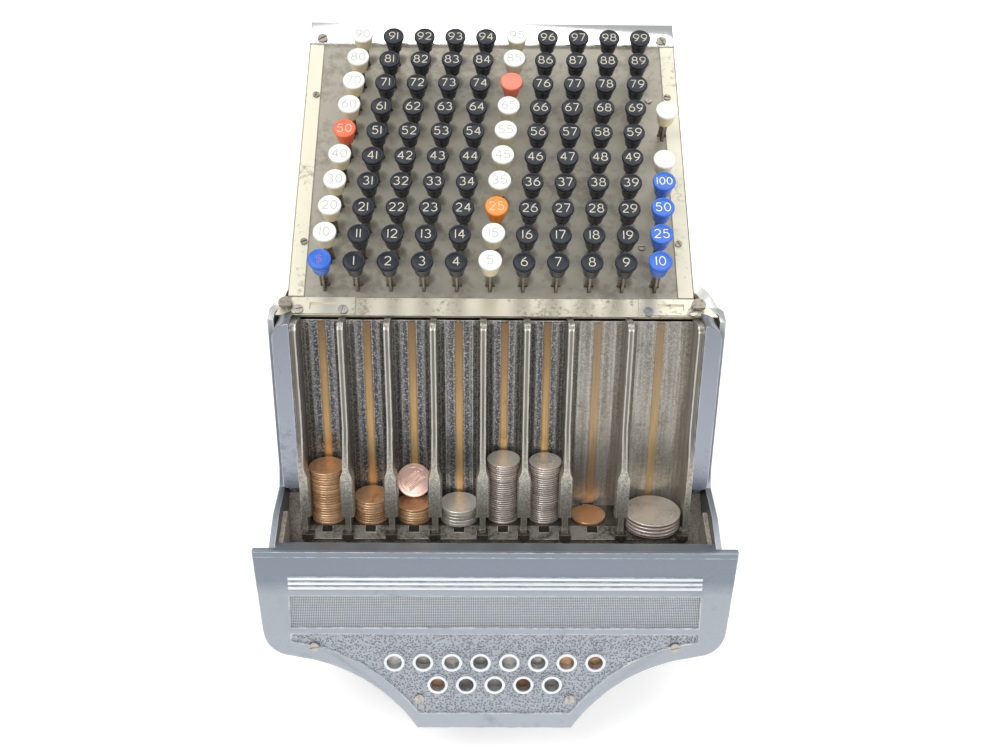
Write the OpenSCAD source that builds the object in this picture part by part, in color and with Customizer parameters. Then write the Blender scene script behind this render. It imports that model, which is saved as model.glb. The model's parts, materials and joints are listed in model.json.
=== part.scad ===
// Coin changer dispenser: a keyboard of amounts above a lift-off coin tray and a payout hopper.
// Millimetres. X is to the right, Y to the back, Z up. The machine stands on Z = 0.

/* [Stand] */
// Height of the keyboard's front edge above the counter
deck_h = 220; // [205:1:260]
// Height of a rubber foot
foot_h = 8; // [5:0.5:14]
// Diameter of a rubber foot
foot_d = 22; // [16:1:30]
// Distance of a foot's centre from the edges of the base
foot_inset = 20; // [16:1:40]
// Thickness of the base plate
base_t = 3; // [2:0.5:5]
// Height of the lip bent up along the front of the base
base_lip_h = 40; // [20:1:44]
// Distance of the base's front edge behind the keyboard's front edge
base_front = -56; // [-62:1:-40]

/* [Casing] */
// Wall of a side casting
wall = 3.2; // [2.6:0.1:4]
// Width of the casting's edge that shows beside the keyboard
edge_t = 2.6; // [2:0.1:4]
// Gap between a handle of the tray and the casting beside it
handle_gap = 0.8; // [0.6:0.1:2]
// Height of the casting's edge above the keyboard plate
edge_rise = 1.8; // [0:0.1:2.4]
// Length of the boss that holds an end of the lever shaft
boss_l = 8; // [6:0.5:9]
// Wall of the bush in that boss
bush_t = 2; // [1:0.1:3]
// Thickness of the rear cover
cover_t = 1.6; // [1:0.1:3]
// Number of louvre slots in the rear cover
louvres = 5; // [0:1:8]
// Length of a louvre slot
louvre_l = 90; // [40:5:120]
// Height of a louvre slot
louvre_h = 3; // [2:0.5:5]
// Height of the lowest louvre slot above the base
louvre_rise = 60; // [30:5:120]
// Distance from one louvre slot to the next
louvre_pitch = 12; // [8:1:16]

/* [Keyboard] */
// Slope of the keyboard
deck_slope = 20; // [18:0.5:22]
// Sideways offset of the keyboard from the middle of the machine
deck_shift = -3; // [-4:0.5:3]
// Thickness of the keyboard plate
deck_t = 1.6; // [1:0.1:2.5]
// Length of the bar across the back, along the slope
bar_len = 16.5; // [12:0.5:18]
// Height of the back bar above the keyboard plate
bar_rise = 2; // [1:0.1:3]
// Width of the strip down each side of the keyboard
rail_w = 7.8; // [6:0.1:8.4]
// Gap between the stems of the right-hand column and the side strip
rail_gap = 0.3; // [0.3:0.1:2]
// Thickness of the side strips
rail_t = 1.2; // [0.8:0.1:2]
// Length of the cross plate in front of the keyboard, along the slope
cross_l = 10.3; // [9.8:0.1:10.5]
// Thickness of the cross plate
cross_t = 2; // [1:0.1:2.2]
// Length of a latch bracket across the machine
bracket_w = 32.5; // [28:0.5:33]
// Thickness of a latch bracket
bracket_t = 1.2; // [0.8:0.1:2]
// Distance of a bracket's inner end from the middle of the machine
bracket_in = 73; // [70:0.5:74]
// Length of the slot in a bracket
bracket_slot_l = 14; // [8:0.5:16]
// Width of the slot in a bracket
bracket_slot_w = 4; // [2:0.1:4]
// Diameter of the head of a tray stop stud
stop_d = 7.2; // [5:0.1:7.4]
// Height of a stop stud above the cross plate
stop_h = 4.4; // [3.6:0.1:5.4]

/* [Keys] */
// Distance from one column of keys to the next
key_px = 17.08; // [16.6:0.02:17.2]
// Distance from one row of keys to the next
key_py = 16.2; // [15.6:0.05:16.6]
// Sideways step from one row to the next
key_stagger = 1.6; // [1.3:0.05:1.65]
// Distance of the first row behind the front edge of the plate
key_first = 7; // [6:0.1:8]
// Distance from the last row to the back bar
key_last = 14.7; // [13:0.1:18]
// Sideways offset of the keys on the plate
key_shift = -0.76; // [-2:0.02:1]
// Height of a dark key's top above the plate
key_rise = 25.3; // [24:0.1:32]
// Extra height of a pale key
pale_rise = 1.5; // [0:0.1:3]
// Diameter of a dark cap
cap_d = 11.4; // [10:0.1:12.5]
// Diameter of a pale cap
pale_cap_d = 11.9; // [10:0.1:12.5]
// Height of a cap
cap_h = 10; // [7:0.1:11]
// Thickness of the broad disc at a cap's top
cap_disc = 1.6; // [1:0.1:3]
// Diameter of a cap's lower end
cap_foot_d = 8; // [6.8:0.1:9]
// How far a key goes down
key_travel = 8; // [5:0.5:9]
// How much lower the two plain keys of the right-hand column stand
low_key_drop = 3; // [0:0.5:5]
// Width of a stem's flange
stem_w = 4.4; // [3:0.1:4.6]
// Thickness of a stem's steel
stem_t = 1; // [0.8:0.1:1.1]
// Depth of a stem's blade
blade_l = 3.4; // [2.5:0.1:3.6]
// Clearance round a stem in its slot
stem_gap = 0.3; // [0.2:0.05:0.4]
// Depth of the stem guide plate below the keyboard plate
guide_drop = 24; // [22:0.5:30]
// Thickness of the stem guide plate
guide_t = 1.2; // [1:0.1:2]

/* [Coins] */
// Diameter of a penny
penny_d = 19.05; // [18.5:0.05:19.5]
// Thickness of a penny
penny_t = 1.52; // [1.4:0.01:1.6]
// Play between two coins of a stack
coin_play = 0.02; // [0.02:0.01:0.05]
// Diameter of a nickel
nickel_d = 21.21; // [20.7:0.01:21.7]
// Thickness of a nickel
nickel_t = 1.95; // [1.8:0.01:2.1]
// Diameter of a dime
dime_d = 17.91; // [17.4:0.01:18.4]
// Thickness of a dime
dime_t = 1.35; // [1.3:0.01:1.5]
// Diameter of a quarter, which sets the seventh channel
quarter_d = 24.26; // [23.8:0.01:24.8]
// Diameter of a half dollar
half_d = 30.61; // [30:0.01:31]
// Thickness of a half dollar
half_t = 2.15; // [2:0.01:2.3]
// Number of pennies in the first stack
penny_stack = 21; // [2:1:30]
// Number of pennies in the second stack
penny_stack_2 = 9; // [2:1:30]
// Number of pennies lying in the third stack
penny_stack_3 = 6; // [2:1:12]
// Number of nickels
nickel_stack = 5; // [2:1:24]
// Number of dimes in the first stack
dime_stack = 27; // [2:1:34]
// Number of dimes in the second stack
dime_stack_2 = 26; // [2:1:34]
// Number of half dollars
half_stack = 4; // [2:1:20]
// Gap between the coins and the wear strip behind them
coin_gap = 1.05; // [0.3:0.05:1.5]
// How much further forward the half dollars stand
half_forward = 1; // [0:0.1:1.5]
// Distance of the penny in the quarter channel from the channel's middle
stray_shift = 1.5; // [0:0.1:3]
// Lean of the penny that stands on the third stack
penny_lean = 18; // [10:1:24]

/* [Coin tray] */
// Slope of the coin channels
tray_slope = 73; // [72:0.5:74]
// Distance of the channels' foot behind the keyboard's front edge
tray_foot_y = -41; // [-42:0.1:-40.5]
// Height of the channels' foot above the keyboard's front edge
tray_foot_z = -115.6; // [-117:0.1:-115]
// Slope of the way on which the tray lifts out
lift_angle = 60; // [58:1:66]
// Gap between the tray and the cross plate's corner as it lifts out
tray_gap = 0.5; // [0.3:0.1:1.5]
// Thickness of the tray's back
tray_back_t = 3; // [2:0.1:3.4]
// Thickness of a rib between two channels
rib_t = 3; // [2.4:0.1:3.2]
// Depth of a rib
rib_l = 18; // [14:0.5:20]
// Depth of the guide post at a rib's foot
post_l = 25; // [24:0.5:28]
// Height of a guide post
post_h = 46; // [40:1:52]
// How far a guide post's lip reaches round the coins
lip = 2.15; // [1.2:0.05:2.4]
// How much further the lips beside the half dollars reach
lip_more = 0.45; // [0:0.05:0.6]
// Height of a lip's lower end above the foot plate
lip_foot = 8; // [5:0.5:12]
// Clearance between a lip and the coins
lip_gap = 0.45; // [0.35:0.05:0.6]
// Side clearance of a coin in its channel
coin_side = 0.65; // [0.5:0.05:0.9]
// Side clearance of a quarter in the seventh channel
quarter_side = 1.45; // [0.5:0.05:1.6]
// Thickness of the tray's end walls
end_t = 3; // [2:0.1:3.4]
// Width of a brass wear strip
strip_w = 4; // [3:0.1:6]
// Thickness of a wear strip
strip_t = 0.5; // [0.3:0.05:0.6]
// Thickness of the foot plate under the coins
foot_plate_t = 4; // [3:0.1:5]
// Depth of the foot plate's level part in front of the channel floor
floor_l = 21; // [20.8:0.1:22]
// How far the foot plate's sloping front reaches past the level part
apron_l = 6.6; // [6:0.1:7.5]
// How far that front drops
apron_drop = 4.3; // [3.5:0.1:5]
// Thickness of that front
apron_t = 1.8; // [1.4:0.1:2.4]
// Width of the ear under each guide post
ear_w = 6.5; // [5:0.1:7]
// Depth of an ear below the level part
ear_h = 5.95; // [5.5:0.05:6.5]
// Width of a square hole in the foot plate
hole_w = 5.7; // [4:0.1:7]
// Width of a handle
handle_w = 9; // [8.6:0.1:9.4]
// Depth of a handle
handle_l = 16; // [12:0.5:18]
// Height of a handle along the tray
handle_h = 96; // [70:1:96]
// Height of a handle's top above the tray's top
handle_up = 7.2; // [5:0.1:7.4]
// Radius of a handle's rounded top corner
handle_r = 8.5; // [5:0.5:8.5]
// Diameter of the stud under a handle
stud_d = 7; // [5:0.5:8]
// Height of the stud under a handle
stud_h = 6; // [4:0.5:8]

/* [Ejectors] */
// Stroke of an ejector
eject_stroke = 18; // [12:0.5:18]
// Width of an ejector's finger
finger_w = 6; // [4:0.5:8]
// Thickness of an ejector's finger
finger_t = 1.2; // [0.8:0.05:1.25]
// Length of the block behind the finger
tail_l = 5; // [4:0.5:6]
// Height of that block
tail_h = 7; // [4:0.5:8]
// Diameter of the shaft that carries the kick levers
shaft_d = 6; // [5:0.5:8]
// Radial clearance of a lever on the shaft
shaft_gap = 0.06; // [0.03:0.01:0.1]
// Thickness of a kick lever
lever_t = 3; // [2:0.5:5]
// Radial clearance of the shaft in its bushes
bush_gap = 0.03; // [0.02:0.01:0.1]
// Diameter of a lever's hub
hub_d = 13; // [11:0.5:14]
// Height of the shaft above the tray's foot, along the tray
shaft_rise = 48; // [44:1:54]
// Length of a lever's rear arm
rear_arm = 28; // [20:1:34]
// Radius of a lever's nose
nose_r = 2.5; // [2:0.1:3]
// Height of the nose above the foot plate, to its centre
nose_z = 6; // [5.6:0.1:7]
// Play between a lever's nose and the ejector
nose_gap = 0.4; // [0.35:0.05:0.6]
// Width of a lever's arms
arm_w = 4; // [3:0.1:5]

/* [Payout hopper] */
// Slope of the front plate
plate_slope = 65.2; // [64:0.2:67]
// How far the front plate reaches past the castings on each side
plate_side = 8; // [6:0.5:12]
// Height of the front plate, along its slope
plate_h = 105.5; // [100:0.5:110]
// Thickness of the front plate
plate_t = 4; // [3:0.1:5]
// Width of the plate's flat bottom edge
outlet_w = 82.8; // [76:0.2:90]
// Distance of the plate's top edge behind the keyboard's front edge
plate_top_y = -94.2; // [-98:0.1:-94]
// Height of the plate's top edge above the keyboard's front edge
plate_top_z = -90.1; // [-92:0.1:-89]
// Diameter of a window
window_d = 8; // [6:0.1:10]
// Width of the raised ring round a window
ring_w = 1.4; // [0.8:0.1:2]
// Height of the raised rings and ribs
relief = 0.8; // [0.4:0.1:1.2]
// Distance from one window to the next
window_pitch = 15.2; // [13.4:0.1:16]
// Distance of the upper windows below the plate's top edge
window_row_1 = 64.8; // [62:0.1:68]
// Distance of the lower windows below the plate's top edge
window_row_2 = 78.4; // [77.6:0.1:82]
// Depth of the sunk panels
panel_sink = 0.7; // [0.3:0.1:1]
// Depth of the flange along the front plate's top edge, from the plate's face
flange_l = 10; // [7:0.5:11]
// Thickness of that flange
flange_t = 2.5; // [1.5:0.1:3]
// Wall of the hopper
hopper_t = 2.5; // [1.5:0.1:3]
// Height of the ramps' upper end above the tray's foot
ramp_up = 9; // [6:0.5:10]
// Thickness of the ramps beside the tray's foot
ramp_t = 3; // [2:0.1:4]
// Depth of the hopper's mouth, front to back
mouth_l = 20; // [18:0.5:22]

/* [Screws] */
// Diameter of a screw's head
head_d = 5.2; // [4:0.1:6]
// Diameter of the heads on the keyboard plate and its side strips
small_head_d = 3.8; // [3.4:0.1:4.2]
// Diameter of the heads on the back bar
bar_head_d = 5.9; // [5:0.1:6.2]
// Height of a screw's head
head_h = 1; // [0.6:0.1:1.6]
// Diameter of a screw's shank
shank_d = 2.8; // [2:0.1:3.2]
// Width of a screw's slot
slot_w = 0.8; // [0.5:0.1:1.2]

/* [Hidden] */
$fn = 48;
eps = 0.01;
fit = 0.2;
coin_ds = [penny_d, penny_d, penny_d, nickel_d, dime_d, dime_d, quarter_d, half_d];
coin_ts = [penny_t, penny_t, penny_t, nickel_t, dime_t, dime_t, penny_t, half_t];
coin_sides = [
    coin_side, coin_side, coin_side, coin_side, coin_side, coin_side, quarter_side, coin_side
];
coin_counts = [
    penny_stack, penny_stack_2, penny_stack_3, nickel_stack,
    dime_stack, dime_stack_2, 1, half_stack
];
next_ds = [penny_d, penny_d, penny_d, nickel_d, dime_d, dime_d, penny_d, half_d];
columns = len(coin_ds);
rows = 10;
right_rows = [0, 1, 2, 3, 4, 6];
coin_back = strip_t + coin_gap;

// Sum of the channel and rib widths to the left of channel i
function run(i) = i == 0 ? 0 : run(i - 1) + coin_ds[i - 1] + 2 * coin_sides[i - 1] + rib_t;
tray_in = run(columns) - rib_t;
tray_w = tray_in + 2 * end_t;
deck_w = 2 * (key_x(10, max(right_rows)) + stem_w / 2 + rail_gap + rail_w + fit);
deck_len = key_first + (rows - 1) * key_py + key_last + bar_len;
// The castings are far enough apart for the tray's handles and for the keyboard
body_w = 2 * (wall + max(tray_w / 2 + handle_w + handle_gap, deck_w / 2 + abs(deck_shift) + edge_t));
plate_w = body_w + 2 * plate_side;
function channel_x(i) = -tray_in / 2 + run(i) + coin_sides[i] + coin_ds[i] / 2;
// Middle of the coins of channel i, and the distance of their backs from the channel floor
function coin_x(i) = channel_x(i) - (i == 6 ? stray_shift : 0);
function coin_out(i) = coin_back + (i == 7 ? half_forward : 0);

rear_in = deck_len * cos(deck_slope) + 1;
rear_out = rear_in + cover_t;
front_y = plate_top_y - plate_h * cos(plate_slope);
mid_y = (front_y + rear_out) / 2;
base_z = foot_h - deck_h;
inner_w = body_w - 2 * wall;
foot_x = deck_w / 2 - abs(deck_shift) - foot_inset;
// Where the castings start and finish narrowing to the keyboard, inside
shoulder_y0 = -9;
shoulder_y1 = 3;
// Longer than the machine, for cuts that go right through
far = 400;

// A point n in front of the channel floor and s up the channel, as [Y, Z]
function tray_pt(n, s) = [
    tray_foot_y + s * cos(tray_slope) - n * sin(tray_slope),
    tray_foot_z + s * sin(tray_slope) + n * cos(tray_slope)
];
// A point n in front of the front plate and s up from its top edge, as [Y, Z]
function plate_pt(n, s) = [
    plate_top_y + s * cos(plate_slope) - n * sin(plate_slope),
    plate_top_z + s * sin(plate_slope) + n * cos(plate_slope)
];
// A point y along the keyboard and z above its plate, as [Y, Z]
function deck_pt(y, z) = [
    y * cos(deck_slope) - z * sin(deck_slope),
    y * sin(deck_slope) + z * cos(deck_slope)
];

// The tray's top stays in front of the cross plate's lower corner while it lifts out
corner = deck_pt(-cross_l, -cross_t) - [tray_foot_y, tray_foot_z];
corner_s = corner[0] * cos(tray_slope) + corner[1] * sin(tray_slope);
corner_n = corner[1] * cos(tray_slope) - corner[0] * sin(tray_slope);
lift_turn = lift_angle - 90 + tray_slope;
function tray_top(n) = corner_s + (n - corner_n) * tan(lift_turn) - tray_gap / cos(lift_turn);
tray_len = tray_top(0);
handle_top = tray_len + handle_up;

function key_x(c, r) = (c - 5) * key_px + r * key_stagger + key_shift;
function key_y(r) = key_first + r * key_py;

// Shaft of the kick levers: above the middle of the stroke of the levers' noses
finger_back = eject_stroke + tray_back_t + 1;
nose_rest = finger_back + tail_l + nose_gap + nose_r;
shaft_back = nose_rest - eject_stroke / 2;
lever_swing = 2 * atan((eject_stroke / 2) / (shaft_rise - nose_z));
shaft_yz = tray_pt(-shaft_back, shaft_rise);
echo(lever_swing_deg = lever_swing, shaft_y = shaft_yz[0] - mid_y, shaft_z = shaft_yz[1] + deck_h);
echo(mid_y = mid_y, tray_w = tray_w, height_back = deck_pt(deck_len, 0)[1] + deck_h);

// ---- Frames: the keyboard's front edge, the keyboard, the tray and the front plate ----

module placed() {
    translate([0, -mid_y, deck_h]) children();
}

module deck_frame() {
    placed() translate([deck_shift, 0, 0]) rotate([deck_slope, 0, 0]) children();
}

module tray_frame() {
    placed() translate([0, tray_foot_y, tray_foot_z]) rotate([tray_slope - 90, 0, 0]) children();
}

module plate_frame() {
    placed() translate([0, plate_top_y, plate_top_z]) rotate([plate_slope - 90, 0, 0]) children();
}

// Extrudes an outline drawn in Y and Z along X, from x0 over a length
module along_x(x0, length) {
    translate([x0, 0, 0]) rotate([90, 0, 90]) linear_extrude(length) children();
}

// Extrudes an outline drawn in X and Z towards the back, from y0 over a length
module along_y(y0, length) {
    translate([0, y0 + length, 0]) rotate([90, 0, 0]) linear_extrude(length) children();
}

// ---- Outline of the front plate: straight sides, round corners and a sweep to the outlet ----

function curve(a, b, c, steps) = [
    for (i = [1:steps]) let (t = i / steps)
        (1 - t) * (1 - t) * a + 2 * t * (1 - t) * b + t * t * c
];
function half_plate(i) = let (
    w = plate_w / 2,
    side_foot = [w - 3.5 - i, -46 + 0.3 * i],
    corner = [w - 4.5 - i, -57 + i],
    corner_end = [w - 14 - 0.3 * i, -60.5 + i],
    sweep = [w - 29 - 0.3 * i, -63.5 + i],
    sweep_mid = [w / 2 - 0.6 - 0.6 * i, -72.6 + 0.8 * i],
    foot = [outlet_w / 2 - 0.8 * i, -plate_h]
) concat(
    [[w - i, 0], side_foot],
    curve(side_foot, corner, corner_end, 8),
    [sweep],
    curve(sweep, sweep_mid, foot, 14)
);
function mirrored(p) = [for (i = [len(p) - 1:-1:0]) [-p[i][0], p[i][1]]];
function full_plate(i) = concat(half_plate(i), mirrored(half_plate(i)));
function steeper(p, k) = [for (q = p) [q[0], q[1] * k]];

// ---- Small parts ----

// A slotted screw whose head stands on z = 0
module screw(shank_l, turn, head = head_d) {
    difference() {
        cylinder(d = head, h = head_h);
        rotate([0, 0, turn])
            translate([-head, -slot_w / 2, head_h / 2]) cube([2 * head, slot_w, head_h]);
    }
    translate([0, 0, -shank_l]) cylinder(d = shank_d, h = shank_l);
}

module screw_hole(depth) {
    translate([0, 0, -depth - eps]) cylinder(d = shank_d + 0.2, h = depth + 2 * eps);
}

// ---- Stand and casing ----

// Plan of the space inside the two side castings: wide beside the tray, narrower behind it
function inner_plan(y0, gap) = let (
    w = inner_w / 2 - gap,
    right = deck_w / 2 + deck_shift - gap,
    left = -deck_w / 2 + deck_shift + gap
) [
    [-w, y0], [w, y0], [w, shoulder_y0], [right, shoulder_y1],
    [right, rear_in], [left, rear_in], [left, shoulder_y1], [-w, shoulder_y0]
];

module base_plate() {
    color("dimgray") placed() {
        translate([0, 0, base_z]) linear_extrude(base_t) polygon(inner_plan(base_front, 0));
        translate([-inner_w / 2, base_front, base_z]) cube([inner_w, base_t, base_lip_h]);
    }
}

module rubber_feet() {
    color("#222222") placed()
        for (sx = [-1, 1], y = [base_front + foot_inset, rear_in - foot_inset])
            translate([sx * foot_x, y, -deck_h]) {
                difference() {
                    cylinder(d1 = foot_d, d2 = foot_d - 3, h = foot_h);
                    translate([0, 0, -eps]) cylinder(d = foot_d / 3, h = foot_h / 2);
                }
            }
}

// Side view of the casting: front edge, rim of the hopper, foot, back and keyboard edge
function side_profile() = concat(
    [
        deck_pt(2, edge_rise),
        deck_pt(-4, -1.2),
        tray_pt(8, tray_len + 3.5),
        tray_pt(8, 28),
        tray_pt(12, 19),
        tray_pt(36, 16),
        plate_pt(-plate_t - fit, -1),
        plate_pt(-plate_t - fit, -plate_h / 2)
    ],
    [
        [plate_top_y + 14, plate_top_z - 62],
        [base_front - 4, plate_top_z - 72],
        [base_front - 4, base_z],
        [rear_in, base_z],
        [rear_in, (rear_in * sin(deck_slope) + edge_rise) / cos(deck_slope)]
    ]
);

module side_casting(edge) {
    half = body_w / 2;
    difference() {
        union() {
            intersection() {
                translate([0, 0, base_z]) linear_extrude(deck_h + 100) polygon([
                    [half, plate_top_y - 80], [half, shoulder_y0 + 3], [edge + edge_t, shoulder_y1 + 5],
                    [edge + edge_t, rear_in], [edge, rear_in], [edge, shoulder_y1],
                    [half - wall, shoulder_y0], [half - wall, plate_top_y - 80]
                ]);
                along_x(edge - 1, half) polygon(side_profile());
            }
            // Ledge under the tray's foot
            translate([0, tray_foot_y, tray_foot_z]) rotate([tray_slope - 90, 0, 0])
                translate([tray_w / 2 - 7, -8, -foot_plate_t - 4])
                    cube([half - wall - tray_w / 2 + 7 + eps, 26, 4]);
            // Boss that holds the bush of the lever shaft
            translate([half - boss_l, shaft_yz[0], shaft_yz[1]]) rotate([0, 90, 0])
                cylinder(d = shaft_d + 2 * bush_t + 6, h = boss_l);
        }
        translate([edge - 1, shaft_yz[0], shaft_yz[1]]) rotate([0, 90, 0])
            cylinder(d = shaft_d + 2 * bush_t, h = half - edge + 2);
    }
}

module left_side_casting() {
    color("lightsteelblue") placed() mirror([1, 0, 0]) side_casting(deck_w / 2 - deck_shift);
}

module right_side_casting() {
    color("lightsteelblue") placed() side_casting(deck_w / 2 + deck_shift);
}

module rear_cover() {
    top = deck_pt(deck_len, 0)[1] - 1;
    left = -deck_w / 2 + deck_shift - edge_t;
    color("silver") placed() difference() {
        translate([left, rear_in, base_z])
            cube([deck_w + 2 * edge_t, cover_t, top - base_z]);
        for (i = [0:1:louvres - 1])
            translate([deck_shift - louvre_l / 2, rear_in - 1, base_z + louvre_rise + i * louvre_pitch])
                cube([louvre_l, cover_t + 2, louvre_h]);
    }
}

// ---- Keyboard ----

// The stem's outline: a flange across and a blade to the front, with a clearance round it
module stem_outline(gap) {
    translate([-stem_w / 2 - gap, 0.4 - gap]) square([stem_w + 2 * gap, stem_t + 2 * gap]);
    blade_outline(gap);
}

module blade_outline(gap) {
    translate([-stem_t / 2 - gap, 0.4 - blade_l - gap]) square([stem_t + 2 * gap, blade_l + 2 * gap]);
}

// Puts its children at every key, the ten by ten field and the right-hand column
module at_keys() {
    for (r = [0:rows - 1], c = [0:9]) translate([key_x(c, r), key_y(r)]) children();
    for (r = right_rows) translate([key_x(10, r), key_y(r)]) children();
}

rail_x = deck_w / 2 - fit - rail_w / 2;
rail_screw_x = rail_x - rail_w / 2 + 2.1;
rail_screws = [for (sx = [-1, 1], y = [33, 130.5]) [sx * rail_screw_x, y]];
plate_deck_screws = [[79.5, 31.5], [88.3, 129.2]];
bar_screws = [for (sx = [-1, 1]) [sx * (deck_w / 2 - 7), deck_len - 13.2]];

module keyboard_deck() {
    color("#a49a86") deck_frame() difference() {
        translate([0, 0, -deck_t]) linear_extrude(deck_t) difference() {
            translate([-deck_w / 2, 0.2]) square([deck_w, deck_len - 0.2]);
            at_keys() stem_outline(stem_gap);
        }
        for (p = concat(rail_screws, plate_deck_screws, bar_screws))
            translate([p[0], p[1], 0]) screw_hole(deck_t);
    }
}

module deck_back_bar() {
    y0 = deck_len - bar_len;
    color("gainsboro") deck_frame() difference() {
        along_x(-deck_w / 2 + fit, deck_w - 2 * fit) polygon([
            [y0, 0], [y0, bar_rise - 0.6], [y0 + 0.6, bar_rise],
            [deck_len - 1, bar_rise], [deck_len - 0.2, bar_rise - 0.8], [deck_len - 0.2, 0]
        ]);
        for (p = bar_screws) translate([p[0], p[1], bar_rise]) screw_hole(bar_rise);
    }
}

module deck_side_rails() {
    color("#e8dfc4") deck_frame() difference() {
        for (sx = [-1, 1]) translate([sx * rail_x - rail_w / 2, 0.4, 0])
            cube([rail_w, deck_len - bar_len - 0.8, rail_t]);
        for (p = rail_screws) translate([p[0], p[1], rail_t]) screw_hole(rail_t);
    }
}

module stem_guide_plate() {
    color("slategray") deck_frame() translate([0, 0, -guide_drop]) linear_extrude(guide_t)
        difference() {
            translate([-deck_w / 2, 0.2]) square([deck_w, deck_len - bar_len]);
            at_keys() blade_outline(stem_gap);
        }
}

// One key: a steel stem of flange and blade, and a cap that is a disc on a body tapering down
module key(tint, diameter, rise) {
    foot = rise - cap_h;
    foot_r = cap_foot_d / 2 + diameter / 2 - cap_d / 2;
    color("#4a4640") {
        translate([0, 0, -guide_drop + guide_t + key_travel + 1])
            linear_extrude(foot + guide_drop - guide_t - key_travel - 1) stem_outline(0);
        translate([0, 0, -guide_drop - 3])
            linear_extrude(guide_t + key_travel + 4) blade_outline(0);
    }
    color(tint) translate([0, 0, foot]) rotate_extrude() polygon([
        [0, 0], [foot_r, 0], [foot_r, 1], [0.46 * diameter, cap_h - cap_disc - 0.5],
        [diameter / 2, cap_h - cap_disc], [diameter / 2, cap_h - 0.6],
        [diameter / 2 - 0.6, cap_h], [0, cap_h]
    ]);
}

function key_tint(c, r) = c == 0 && r == 0 ? "royalblue"
    : c == 0 && r == 5 ? "orangered"
    : c == 5 && r == 2 ? "darkorange"
    : c == 5 && r == 7 ? "salmon"
    : c == 0 || c == 5 ? "ivory" : "#2b2d31";

module key_row(r) {
    deck_frame() for (c = [0:9]) {
        pale = c == 0 || c == 5;
        translate([key_x(c, r), key_y(r), 0])
            key(key_tint(c, r), pale ? pale_cap_d : cap_d, key_rise + (pale ? pale_rise : 0));
    }
}

module right_key(i) {
    r = right_rows[i];
    plain = i >= 4;
    deck_frame() translate([key_x(10, r), key_y(r), 0])
        key(plain ? "ivory" : "royalblue", pale_cap_d,
            key_rise + pale_rise - (plain ? low_key_drop : 0));
}

// ---- Cross plate in front of the keyboard ----

bracket_mid = bracket_in + bracket_w / 2;
bracket_screws = [
    [-bracket_in - bracket_w + 3.6, -7.8], [-bracket_in - 6, -7.8],
    [bracket_in + 4.7, -8.2], [bracket_in + bracket_w - 5, -8.2]
];
stop_flat = 2;
// The studs' heads stand above the heads of the screws beside them
stop_neck = bracket_t + head_h + fit;
stop_studs = [[-deck_w / 2 + deck_shift - 0.6, -5.3], [deck_w / 2 + deck_shift + 1.8, -5.3]];
function on_machine(x) = x - deck_shift;

// Keeps the children clear of the castings' inner faces
module between_castings() {
    intersection() {
        placed() translate([0, 0, -20]) linear_extrude(40) polygon(inner_plan(-30, fit));
        children();
    }
}

module front_cross_plate() {
    color("#b9b29c") between_castings() deck_frame() difference() {
        translate([on_machine(-inner_w / 2), -cross_l, -cross_t]) cube([inner_w, cross_l, cross_t]);
        for (p = bracket_screws) translate([on_machine(p[0]), p[1], 0]) screw_hole(cross_t);
    }
}

module latch_brackets() {
    color("#cfc8b0") between_castings() deck_frame() for (sx = [-1, 1]) difference() {
        translate([on_machine(sx * bracket_mid) - bracket_w / 2, -cross_l + 0.3, 0])
            cube([bracket_w, cross_l - 0.8, bracket_t]);
        translate([on_machine(sx * bracket_mid) - bracket_slot_l / 2, -7.4, -1])
            cube([bracket_slot_l, bracket_slot_w, bracket_t + 2]);
        for (p = bracket_screws)
            translate([on_machine(p[0]), p[1], bracket_t]) screw_hole(bracket_t);
        for (p = stop_studs)
            translate([on_machine(p[0]), p[1], -1]) cylinder(d = shank_d + 2 * fit, h = bracket_t + 2);
    }
}

// A thin neck carries a broad head whose front is cut flat
module tray_stop_studs() {
    color("#5d4a3c") deck_frame() for (p = stop_studs)
        translate([on_machine(p[0]), p[1], 0]) {
            cylinder(d = shank_d, h = stop_h);
            translate([0, 0, stop_neck]) intersection() {
                cylinder(d = stop_d, h = stop_h - stop_neck);
                translate([-stop_d, -stop_flat, -1]) cube([2 * stop_d, stop_d, stop_h]);
            }
        }
}

// ---- Hopper ----

plate_screws = [[plate_w / 2 - 30, -55.7], [outlet_w / 2 - 1.2, -plate_h + 17.9]];
windows = concat(
    [for (i = [0:7]) [(i - 3.5) * window_pitch, -window_row_1]],
    [for (i = [0:4]) [(i - 2) * window_pitch, -window_row_2]]
);

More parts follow.
